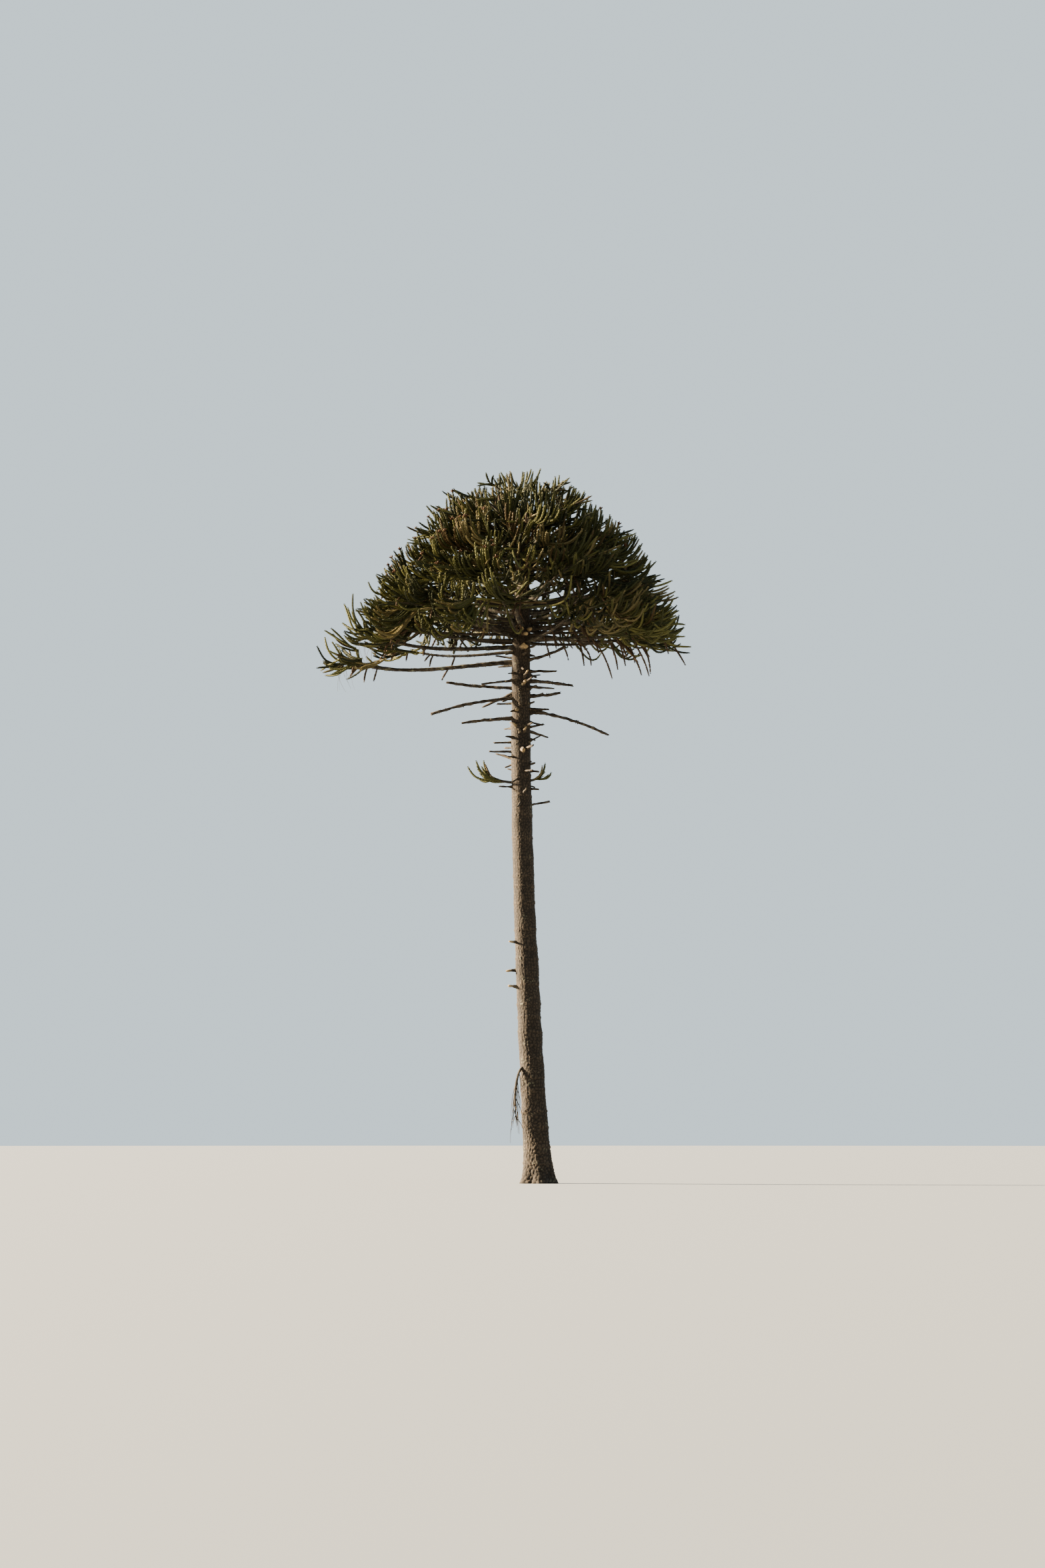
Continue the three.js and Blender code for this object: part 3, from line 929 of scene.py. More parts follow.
class Growth(Nodes):
    """Puts nodes into a Geometry Nodes tree that grows something on lines."""

    def __init__(self, name: str, inputs: Values) -> None:
        """Start a tree that gets the lines and a finish.

        Args:
            name: Name of the tree.
            inputs: Its other inputs.
        """
        tree = bpy.data.node_groups.new(name, "GeometryNodeTree")
        super().__init__(tree, {"Geometry": "Geometry", "Finish": "Material", **inputs})
        self.curve = self.out("GeometryNodeMeshToCurve", {"Mesh": self.given["Geometry"]})

    def number(self, name: str) -> Socket:
        """Return a number that each point of the lines carries."""
        return self.out("GeometryNodeInputNamedAttribute", {"Name": name}, data_type="FLOAT")

    def tube(self, curve: Socket, sides: Socket) -> Socket:
        """Grow a capped tube, as thick as the points of its curves say.

        Args:
            curve: The curves.
            sides: How many sides it has.

        Returns:
            The tube.
        """
        ring = self.out("GeometryNodeCurvePrimitiveCircle", {"Resolution": sides, "Radius": 1.0})
        inputs = {"Curve": curve, "Profile Curve": ring, "Scale": self.number("thickness")}
        return self.out("GeometryNodeCurveToMesh", {**inputs, "Fill Caps": True})

    def repeated(self, places: Node, repeated: Socket, turn: Socket, kept: object = True) -> Socket:
        """Repeat an object on points of the lines, as large as they say.

        Args:
            places: The node that puts out the points and how they are turned.
            repeated: The object.
            turn: How far each is turned about its line.
            kept: Which of the points take one.

        Returns:
            The repeated objects.
        """
        spin = self.out("FunctionNodeAxisAngleToRotation", {"Axis": (0.0, 0.0, 1.0), "Angle": turn})
        both = {"Rotation": places.outputs["Rotation"], "Rotate By": spin}
        inputs = {
            "Points": places.outputs["Points"],
            "Selection": kept,
            "Instance": self.add("GeometryNodeObjectInfo", {"Object": repeated}).outputs["Geometry"],
            "Rotation": self.out("FunctionNodeRotateRotation", both, rotation_space="LOCAL"),
            "Scale": self.number("leaf_size"),
        }
        return self.out("GeometryNodeInstanceOnPoints", inputs)

    def ended(self, geometry: Socket) -> NodeTree:
        """Close the tree with Realize Instances and Set Material.

        Args:
            geometry: What it has grown.

        Returns:
            The tree.
        """
        real = self.out("GeometryNodeRealizeInstances", {"Geometry": geometry})
        inputs = {"Geometry": real, "Material": self.given["Finish"]}
        return self.closed("Geometry", "Geometry", self.out("GeometryNodeSetMaterial", inputs))


class GrowTrees:
    """The Geometry Nodes trees that grow skins, whorls and cones on bare lines and points."""

    def __init__(self) -> None:
        """Build each tree once."""
        self.shoots = self._shoots()
        self.limbs = self._limbs()
        self.clusters = self._clusters()

    @staticmethod
    def _shoots() -> NodeTree:
        """Build the tree that clothes lines with a core and whorls of leaves or spurs.

        Returns:
            The tree.
        """
        sizes = {"Whorl Gap": 0.045, "Core Sides": 3, "Core": True, "Turn": 1.0, "Unevenness": 0.2}
        inputs = {"Whorl": "Object", **sizes, "Fullness": 1.0, "Seed": 1}
        nodes = Growth("Clothed shoots", inputs)
        given = nodes.given
        spaced = {"Curve": nodes.curve, "Length": given["Whorl Gap"]}
        places = nodes.add("GeometryNodeCurveToPoints", spaced, mode="LENGTH")
        widest, seed = given["Unevenness"], given["Seed"]
        limits = {"Min": nodes.product(widest, -1.0), "Max": widest, "Seed": seed}
        stray = nodes.out("FunctionNodeRandomValue", limits, data_type="FLOAT")
        even = nodes.product(nodes.out("GeometryNodeInputIndex", {}), given["Turn"])
        odds = {"Probability": given["Fullness"], "Seed": seed}
        kept = nodes.out("FunctionNodeRandomValue", odds, data_type="BOOLEAN")
        whorls = nodes.repeated(places, given["Whorl"], nodes.math("ADD", even, stray), kept)
        wanted = {"Switch": given["Core"], "True": nodes.tube(nodes.curve, given["Core Sides"])}
        core = nodes.out("GeometryNodeSwitch", wanted, input_type="GEOMETRY")
        both = nodes.add("GeometryNodeJoinGeometry", {0: core})
        nodes.fill(both, {0: whorls})
        return nodes.ended(both.outputs[0])

    @staticmethod
    def _limbs() -> NodeTree:
        """Build the tree that grows a rough bark tube on lines, with its relief kept for the finish.

        Returns:
            The tree.
        """
        inputs = {"Sides": 8, "Ring Gap": 0.06, "Knot Size": 0.07, "Knot Depth": 0.012}
        nodes = Growth("Bark limbs", inputs)
        given = nodes.given
        spaced = {"Curve": nodes.curve, "Length": given["Ring Gap"]}
        fine = nodes.out("GeometryNodeResampleCurve", spaced, mode="LENGTH")
        pitch = nodes.math("DIVIDE", 1.0, given["Knot Size"])
        noise = nodes.noise(nodes.out("GeometryNodeInputPosition", {}), pitch, 1.0).outputs[0]
        # The same noise bulges the tube and is kept as relief, so the finish paints shade into its hollows.
        relief = {"Geometry": nodes.tube(fine, given["Sides"]), "Name": "relief", "Value": noise}
        marked = nodes.out("GeometryNodeStoreNamedAttribute", relief, data_type="FLOAT")
        depth = nodes.product(nodes.math("SUBTRACT", noise, 0.5), nodes.product(given["Knot Depth"], 2.0))
        shift = nodes.vector("SCALE", nodes.out("GeometryNodeInputNormal", {}), depth)
        rough = nodes.out("GeometryNodeSetPosition", {"Geometry": marked, "Offset": shift})
        return nodes.ended(nodes.out("GeometryNodeSetShadeSmooth", {"Geometry": rough}))

    @staticmethod
    def _clusters() -> NodeTree:
        """Build the tree that sets a cluster at the end of each line, in the line's own direction.

        Returns:
            The tree.
        """
        nodes = Growth("Cone clusters", {"Cluster": "Object", "Seed": 1})
        places = nodes.add("GeometryNodeCurveToPoints", {"Curve": nodes.curve, "Count": 1}, mode="COUNT")
        limits = {"Min": 0.0, "Max": TURN, "Seed": nodes.given["Seed"]}
        turn = nodes.out("FunctionNodeRandomValue", limits, data_type="FLOAT")
        clusters = nodes.repeated(places, nodes.given["Cluster"], turn)
        return nodes.ended(nodes.out("GeometryNodeSetShadeSmooth", {"Geometry": clusters}))


class Effects:
    """Shader node groups that more than one finish uses."""

    WARP = 1.3
    CRACK = 0.16
    HEALED = 1.3
    FLAKE_HEIGHT = 0.55
    GRAIN_HEIGHT = 0.65

    def __init__(self) -> None:
        """Build each group once."""
        self.mottle = self._mottle()
        self.crackle = self._crackle()

    @staticmethod
    def _started(name: str, inputs: Values) -> tuple[Nodes, Socket]:
        """Return a new group's nodes and the Object coordinates."""
        nodes = Nodes(bpy.data.node_groups.new(name, "ShaderNodeTree"), inputs)
        return nodes, nodes.add("ShaderNodeTexCoord", {}).outputs["Object"]

    def _mottle(self) -> NodeTree:
        """Build the group that puts out soft patches as a mask, with clear ground between them.

        Returns:
            The group.
        """
        nodes, place = self._started("Mottle", {"Size": 0.3, "Cover": 0.5, "Softness": 0.1})
        softness = nodes.given["Softness"]
        pitch = nodes.math("DIVIDE", 1.0, nodes.given["Size"])
        noise = nodes.noise(place, pitch, detail=4.0, roughness=0.6)
        edge = nodes.math("SUBTRACT", 1.0, nodes.given["Cover"])
        ends = [nodes.math(operation, edge, softness) for operation in ("SUBTRACT", "ADD")]
        return nodes.closed("Mask", "Float", nodes.ramp(noise.outputs[0], *ends))

    def _crackle(self) -> NodeTree:
        """Build the group that puts out the height of small cracked flakes, stretched along the limb.

        Returns:
            The group.
        """
        nodes, place = self._started("Crackle", {"Size": 0.05, "Stretch": 1.0})
        flat = nodes.math("DIVIDE", 1.0, nodes.given["Size"])
        upright = nodes.math("DIVIDE", flat, nodes.given["Stretch"])
        scale = nodes.out("ShaderNodeCombineXYZ", {"X": flat, "Y": flat, "Z": upright})
        place = nodes.vector("MULTIPLY", place, scale)
        warp = nodes.vector("SCALE", nodes.noise(place, 2.0, detail=3.0).outputs["Color"], self.WARP)
        bent = {"Vector": nodes.vector("ADD", place, warp), "Scale": 1.0}
        flakes = nodes.out("ShaderNodeTexVoronoi", bent, feature="DISTANCE_TO_EDGE")
        healed = nodes.product(nodes.noise(place, 0.45, detail=2.0).outputs[0], self.HEALED)
        closed = nodes.math("MAXIMUM", nodes.ramp(flakes, 0.0, self.CRACK), healed)
        grain = nodes.product(nodes.noise(place, 5.0, detail=6.0).outputs[0], self.GRAIN_HEIGHT)
        height = nodes.math("ADD", nodes.product(closed, self.FLAKE_HEIGHT), grain)
        return nodes.closed("Height", "Float", height)


def opaque(colour: Colour) -> tuple[float, float, float, float]:
    """Return a colour with full cover."""
    return (*colour, 1.0)


def started_material(name: str, colour: Colour) -> tuple[Material, Nodes, Node]:
    """Start a material.

    Args:
        name: Name of the material.
        colour: Its base colour.

    Returns:
        The material, its nodes and its Principled shader.
    """
    material = bpy.data.materials.new(name)
    material.use_nodes = True
    material.diffuse_color = opaque(colour)
    nodes = Nodes(material.node_tree)
    shader = next(node for node in material.node_tree.nodes if node.type == "BSDF_PRINCIPLED")
    nodes.fill(shader, {"Base Color": opaque(colour)})
    return material, nodes, shader


@dataclass(frozen=True)
class BarkFinish:
    """Rough bark: darker in the cracks and lighter on the ridges, freshly broken wood and patches of lichen;
    the dark cracks are partly the bark's own colour, partly painted shade in the hollows.
    """

    name: str
    # Crack, body and ridge run from the hollows to the raised bark; the near-black crack colour is partly
    # painted shade.
    crack: Colour
    body: Colour
    ridge: Colour
    heartwood: Colour = (0.30, 0.21, 0.105)
    lichen: Colour = (0.16, 0.16, 0.10)
    lichen_cover: float = 0.36
    lichen_size: float = 0.35
    lichen_strength: float = 0.8
    stain_size: float = 2.7
    stain: float = 0.45
    flake_size: float = 0.035
    flake_stretch: float = 0.8
    flake_share: float = 0.55
    relief_share: float = 0.72
    body_from: Span = (0.18, 0.55)
    ridge_from: Span = (0.5, 0.95)
    roughness: Span = (0.98, 0.78)
    specular: float = 0.2
    bump: float = 0.6
    bump_depth: float = 0.012

    def material(self, effects: Effects) -> Material:
        """Make the material.

        Args:
            effects: The shared node groups.

        Returns:
            The material.
        """
        made, nodes, shader = started_material(self.name, self.body)
        relief, broken = (
            nodes.add("ShaderNodeAttribute", {}, attribute_name=name).outputs["Fac"]
            for name in ("relief", "broken")
        )
        height = nodes.group(effects.crackle, Size=self.flake_size, Stretch=self.flake_stretch)
        patches = nodes.group(effects.mottle, Size=self.lichen_size, Cover=self.lichen_cover, Softness=0.05)
        stained = self.lichen_size * self.stain_size
        stains = nodes.group(effects.mottle, Size=stained, Cover=0.5, Softness=0.2)
        # Colour follows the relief and the flake height that also bends the normal: painted shade darkens the
        # hollows, raised bark keeps the ridge colour.
        layered = nodes.math("ADD", relief, nodes.product(height, self.flake_share))
        raised = nodes.product(layered, self.relief_share)
        high = nodes.ramp(raised, *self.ridge_from)
        layers = (
            (nodes.ramp(raised, *self.body_from), self.body),
            (high, self.ridge),
            (nodes.product(stains, self.stain), self.crack),
            (nodes.product(patches, high, self.lichen_strength), self.lichen),
            (broken, self.heartwood),
        )
        colour = opaque(self.crack)
        for share, layer in layers:
            colour = nodes.mix(share, colour, opaque(layer))
        inputs = {
            "Base Color": colour,
            "Roughness": nodes.scaled(raised, *self.roughness),
            "Normal": nodes.bump(self.bump, self.bump_depth, height),
            "Specular IOR Level": self.specular,
        }
        nodes.fill(shader, inputs)
        return made


@dataclass(frozen=True)
class LeafFinish:
    """Stiff waxy leaves in one plain colour, with an uneven gloss."""

    name: str
    colour: Colour
    gloss: Span = (0.52, 0.72)
    specular: float = 0.12
    patch_size: float = 0.05
    bump: float = 0.25
    bump_depth: float = 0.004

    def material(self, effects: Effects) -> Material:
        """Make the material.

        Args:
            effects: The shared node groups.

        Returns:
            The material.
        """
        made, nodes, shader = started_material(self.name, self.colour)
        patches = nodes.group(effects.mottle, Size=self.patch_size, Cover=0.5, Softness=0.3)
        inputs = {
            "Roughness": nodes.scaled(patches, *self.gloss),
            "Normal": nodes.bump(self.bump, self.bump_depth, patches),
            "Specular IOR Level": self.specular,
        }
        nodes.fill(shader, inputs)
        return made


class Tint(Enum):
    """The colours of live shoots, with how many sprays of a hundred have each."""

    DEEP = (24, (0.018, 0.020, 0.008))
    OLIVE = (30, (0.033, 0.034, 0.011))
    MOSS = (21, (0.058, 0.057, 0.016))
    FRESH = (12, (0.108, 0.101, 0.030))
    BRONZE = (5, (0.060, 0.040, 0.016))
    TAN = (8, (0.112, 0.090, 0.037))

    def __init__(self, share: int, colour: Colour) -> None:
        """Keep the figures of the tint.

        Args:
            share: Sprays of a hundred.
            colour: Plain base colour.
        """
        self.label = self.name.lower()
        self.share = share
        self.colour = colour

    @classmethod
    def dealt(cls, draw: float) -> "Tint":
        """Deal out a tint.

        Args:
            draw: A draw from 0 to 1.

        Returns:
            The tint.
        """
        left = draw * sum(tint.share for tint in cls)
        for tint in cls:
            left -= tint.share
            if left < 0:
                return tint
        return cls.OLIVE


LIVE_BARK = BarkFinish(
    "bark",
    (0.006, 0.0045, 0.003),
    (0.018, 0.0125, 0.0078),
    (0.072, 0.048, 0.028),
    flake_size=0.06,
    flake_stretch=1.2,
    bump_depth=0.014,
)
LIMB_BARK = BarkFinish(
    "limb_bark",
    (0.006, 0.0045, 0.003),
    (0.016, 0.012, 0.008),
    (0.058, 0.043, 0.027),
    lichen_cover=0.40,
    lichen_size=0.2,
    flake_size=0.014,
    bump_depth=0.005,
)
DEAD_WOOD = BarkFinish(
    "dead_wood",
    (0.008, 0.006, 0.004),
    (0.023, 0.017, 0.011),
    (0.070, 0.050, 0.031),
    lichen=(0.125, 0.10, 0.052),
    lichen_cover=0.4,
    lichen_size=0.15,
    flake_size=0.014,
    flake_stretch=1.6,
    bump_depth=0.005,
)
DEAD_SHOOT = LeafFinish("dead_shoots", (0.058, 0.036, 0.020), gloss=(0.7, 0.9))
CONES = LeafFinish("cones", (0.046, 0.018, 0.006), gloss=(0.6, 0.8), patch_size=0.02, bump=0.6)
STRANDS = LeafFinish("strands", (0.045, 0.038, 0.024), gloss=(0.75, 0.9))


def finished(piece: Object, slot: str, *nodes: str) -> None:
    """Make a piece ride with the tree, hide the solids that it stands for, and log its triangles.

    Args:
        piece: The piece.
        slot: The record's material slot; not used.
        nodes: Names of the solids, if it stands for any.
    """
    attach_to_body(piece, BODY)
    if nodes:
        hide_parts(*nodes)
    piece.data.calc_loop_triangles()
    log.info("%s: %d triangles", piece.name, len(piece.data.loop_triangles))


def grow_piece(name: str, slot: str, lines: Object, tree: NodeTree, values: Values, *nodes: str) -> None:
    """Grow a piece on bare lines, take the lines away, and finish it.

    Args:
        name: Name of the piece.
        slot: The record's material slot.
        lines: The bare lines.
        tree: The Geometry Nodes tree that grows it.
        values: A value for each of the tree's named inputs.
        nodes: Names of the solids that it stands for, if any.
    """
    modifier = lines.modifiers.new("grow", "NODES")
    modifier.node_group = tree
    for item in tree.interface.items_tree:
        if item.item_type == "SOCKET" and item.in_out == "INPUT" and item.name in values:
            modifier[item.identifier] = values[item.name]
    graph = bpy.context.evaluated_depsgraph_get()
    mesh = bpy.data.meshes.new_from_object(lines.evaluated_get(graph), depsgraph=graph)
    lines.modifiers.remove(modifier)
    for label in ("thickness", "leaf_size"):
        if label in mesh.attributes:
            mesh.attributes.remove(mesh.attributes[label])
    bare = lines.data
    bpy.data.objects.remove(lines)
    bpy.data.meshes.remove(bare)
    mesh.name = name
    finished(placed(name, mesh), slot, *nodes)


def spur_values(finish: Material, ring: Object, gap: float, fullness: float, seed: int) -> Values:
    """Return the growing tree's inputs for rings of spurs along a limb.

    Args:
        finish: Their finish.
        ring: The ring that is repeated.
        gap: Gap between the rings.
        fullness: Share of them that are there.
        seed: Sets this pattern apart.

    Returns:
        A value for each input by its name.
    """
    kept = {"Whorl Gap": gap, "Fullness": fullness, "Seed": seed}
    return {"Finish": finish, "Whorl": ring, "Core": False, "Turn": 2.3, "Unevenness": 1.4, **kept}


@dataclass(frozen=True)
class Stub:
    """A short limb broken off near the trunk; azimuth is in degrees."""

    azimuth: float
    height: float
    length: float
    rise: float

    @property
    def figures(self) -> tuple[float, float, float, float]:
        """Its four figures, with the azimuth as an angle."""
        return math.radians(self.azimuth), self.height, self.length, self.rise


@dataclass
class Trunk:
    """The trunk with its plated bark, the rings and scars of old whorls, and its broken snags.

    Shades say how much plates, grain, collars, scar rims and pits count in the relief that is coloured.
    """

    habit: Habit
    sides: int = 144
    rows: int = 632
    plate_cells: int = 22
    plate_height: float = 0.105
    plate_depth: float = 0.026
    plate_wander: float = 0.35
    wander_cells: int = 5
    wander_gap: float = 0.4
    plate_aside: float = 0.025
    aside_cells: int = 7
    aside_gap: float = 0.33
    grain_cells: int = 48
    grain_gap: float = 0.05
    grain_depth: float = 0.010
    lump_cells: int = 5
    lump_gap: float = 0.55
    lump_depth: float = 0.022
    depth_at_top: float = 0.3
    age_height: float = 6.0
    whorl_from: float = 0.55
    whorl_gap: float = 0.62
    whorl_stray: float = 0.34
    whorl_wave: float = 0.03
    wave_cells: int = 4
    whorl_depth: float = 0.010
    whorl_width: float = 0.05
    scars: int = 6
    scars_kept: float = 0.75
    scar_size: Span = (0.062, 0.04)
    scar_depth: float = 0.018
    scar_rim: float = 0.4
    scar_pit: float = 0.7
    pit_depth: float = 0.8
    crack_shade: float = 0.1
    shades: Sizes = (0.42, 0.12, 0.1, 0.2, -0.3)
    snag_count: int = 16
    snag_low: float = 13.9
    snag_high: float = 17.95
    snag_length: Span = (0.23, 0.56)
    snag_rise: Span = (-0.2, 0.3)
    snag_phase: float = 0.4
    snag_radii: Sizes = (0.052, 0.044, 0.03)
    fine_snags: int = 52
    fine_below: float = 1.2
    fine_longer: float = 1.6
    fine_length: Span = (0.12, 0.62)
    fine_rise: Span = (-0.35, 0.45)
    fine_radii: Sizes = (0.042, 0.036, 0.028)
    long_snags: tuple[Stub, ...] = (
        Stub(197, 17.02, 1.05, -0.16),
        Stub(165, 16.62, 1.10, -0.38),
        Stub(200, 15.72, 0.75, -0.10),
        Stub(181, 14.55, 0.72, 0.02),
        Stub(352, 17.32, 0.85, -0.02),
        Stub(10, 16.80, 0.80, -0.04),
        Stub(345, 16.02, 0.62, -0.05),
        Stub(25, 15.30, 0.66, -0.22),
    )
    collar_stubs: tuple[Stub, ...] = (
        Stub(245, 18.74, 0.34, 0.05),
        Stub(258, 18.66, 0.42, -0.1),
        Stub(271, 18.70, 0.38, 0.0),
        Stub(284, 18.65, 0.44, -0.25),
        Stub(298, 18.69, 0.36, 0.0),
        Stub(290, 18.14, 0.20, -0.1),
        Stub(280, 18.11, 0.16, 0.2),
    )
    collar_radii: Sizes = (0.074, 0.084, 0.082, 0.050)
    facing_stubs: tuple[Stub, ...] = (
        Stub(292, 17.02, 0.34, 0.5),
        Stub(286, 16.78, 0.22, 0.4),
        Stub(248, 16.02, 0.14, -0.3),
        Stub(240, 15.40, 0.16, 0.2),
        Stub(290, 15.16, 0.20, 0.5),
        Stub(276, 14.66, 0.12, -0.4),
        Stub(284, 14.44, 0.16, 0.5),
        Stub(205, 8.05, 0.22, 0.1),
        Stub(186, 7.15, 0.30, -0.1),
        Stub(194, 6.55, 0.26, 0.1),
    )
    stub_radii: Sizes = (0.062, 0.056, 0.050, 0.030)

    def _relief(self, around: Array, height: Array) -> tuple[Array, Array]:
        """Return how far the bark stands out, and how high each place is in its own relief.

        Args:
            around: Place round the trunk, from 0 to 1.
            height: Height above the ground.

        Returns:
            The depth in metres, and a share from 0 in the cracks to 1 on the ridges.
        """
        girth = self.habit.trunk_radius(height) / self.habit.foot_radius
        age = self.depth_at_top + (1.0 - self.depth_at_top) * np.exp(-height / self.age_height)
        wander = self.plate_wander * ripple(around, height / self.wander_gap, self.wander_cells, 70)
        aside = around + self.plate_aside * ripple(around, height / self.aside_gap, self.aside_cells, 79)
        row = height / self.plate_height + 1.0 + wander + self.plate_wander
        plate = plates(aside, row, self.plate_cells, 71)
        lumps = ripple(around, height / self.lump_gap, self.lump_cells, 73)
        grain = ripple(around, height / self.grain_gap, self.grain_cells, 74)
        number = np.floor((height - self.whorl_from) / self.whorl_gap + 0.5)
        keys = np.maximum(0.0, number).astype(np.uint64)
        middle = self.whorl_from + number * self.whorl_gap + (chance(keys, 75) - 0.5) * self.whorl_stray
        wave = ripple(around, keys.astype(float), self.wave_cells, 76)
        from_middle = height - middle - self.whorl_wave * wave
        collar = np.exp(-((from_middle / self.whorl_width) ** 2))
        spoke = around * self.scars + chance(keys, 77)
        sideways = (spoke - np.floor(spoke) - 0.5) / self.scars * TURN * self.habit.foot_radius * girth
        oval = np.hypot(sideways / self.scar_size[0], from_middle / self.scar_size[1])
        kept = chance(keys, (np.floor(spoke) % self.scars).astype(np.uint64), 78) < self.scars_kept
        rim = np.exp(-(((oval - 1.0) / self.scar_rim) ** 2)) * kept
        pit = np.exp(-((oval / self.scar_pit) ** 2)) * kept
        depth = girth * (
            age * (self.plate_depth * (plate - 0.5) + self.grain_depth * grain)
            + self.lump_depth * lumps
            + self.whorl_depth * collar
            + self.scar_depth * (rim - self.pit_depth * pit)
        )
        # The colour share follows the same relief that displaces the skin: darker in cracks and scar pits,
        # lighter on plates, collars and rims, partly painted shade in the hollows.
        share = self.crack_shade
        for shade, layer in zip(self.shades, (plate, grain, collar, rim, pit)):
            share = share + shade * layer
        return depth, np.clip(share, 0.0, 1.0)

    def _bark(self) -> Shape:
        """Shape the trunk's skin from the flat cut at the ground to its tip.

        Returns:
            The skin.
        """
        shape = (self.rows + 1, self.sides)
        heights = np.broadcast_to(np.linspace(0.0, self.habit.trunk_top, shape[0])[:, None], shape)
        around = np.broadcast_to((np.arange(self.sides) / self.sides)[None, :], shape)
        depth, share = self._relief(around, heights)
        angle = around * TURN
        radius = self.habit.trunk_radius(heights) + self.habit.flare(heights, angle) + depth
        aside = self.habit.trunk_shift(heights) + radius * np.cos(angle)
        points = np.stack([aside, radius * np.sin(angle), heights], axis=-1).reshape(-1, 3)
        return Shape(points, ring_faces(*shape), share.reshape(-1), np.zeros(len(points)))

    def _snag(self, azimuth: float, height: float, length: float, rise: float) -> Curve:
        """Return the curve of a snag that starts inside the trunk."""
        start = self.habit.socket(azimuth, height)
        return Curve(start, start + outward(azimuth, rise) * (self.habit.socket_length(height) + length))

    def _snags(self, taken: Callable[[Array], bool]) -> Shape:
        """Return all the broken snags as one shape.

        Args:
            taken: Tells whether a place is too near a dead limb.

        Returns:
            The snags.
        """
        thick = LimbSkin(sides=10, ring_gap=0.03, splinter=0.08, collar=0.7, knots=0.35)
        thin = LimbSkin(sides=8, ring_gap=0.025, splinter=0.06, collar=0.9, knots=0.38, grain=0.14)
        pale = LimbSkin(18, 0.015, knot_gap=0.09, knots=0.34, grain=0.1, splinter=0.05, broken_length=0.15)
        span = self.snag_high - self.snag_low
        scattered: list[tuple[Curve, LimbSkin, Sizes, int]] = []
        for index in range(self.snag_count):
            height = self.snag_low + span * (index + chance(index, 21)) / self.snag_count
            azimuth = index * GOLDEN_TURN + self.snag_phase
            length, rise = between(*self.snag_length, index, 22), between(*self.snag_rise, index, 23)
            scattered.append((self._snag(azimuth, height, length, rise), thick, self.snag_radii, 300 + index))
        low, span = self.snag_low - self.fine_below, span + self.fine_longer
        for index in range(self.fine_snags):
            height = low + span * (index + chance(index, 24)) / self.fine_snags
            azimuth = index * GOLDEN_TURN * 1.5 + chance(index, 25)
            length, rise = between(*self.fine_length, index, 26), between(*self.fine_rise, index, 27)
            scattered.append((self._snag(azimuth, height, length, rise), thin, self.fine_radii, 400 + index))
        shapes = [skin.shape(curve, *rest) for curve, skin, *rest in scattered if not taken(curve.at(1.0))]
        for index, stub in enumerate(self.long_snags):
            shapes.append(thick.shape(self._snag(*stub.figures), self.snag_radii, 480 + index))
        for stubs, radii in ((self.collar_stubs, self.collar_radii), (self.facing_stubs, self.stub_radii)):
            for stub in stubs:
                shapes.append(pale.shape(self._snag(*stub.figures), radii, 500 + len(shapes)))
        return Shape.joined(shapes)

    def build(self, bark: Material, wood: Material, taken: Callable[[Array], bool]) -> None:
        """Build and dress the trunk and its snags.

        Args:
            bark: Finish of the trunk.
            wood: Finish of the snags.
            taken: Tells whether a place is too near a dead limb.
        """
        finished(self._bark().to_object("trunk_bark", bark), "bark", "trunk")
        finished(self._snags(taken).to_object("trunk_snags", wood), "bark", "trunk")


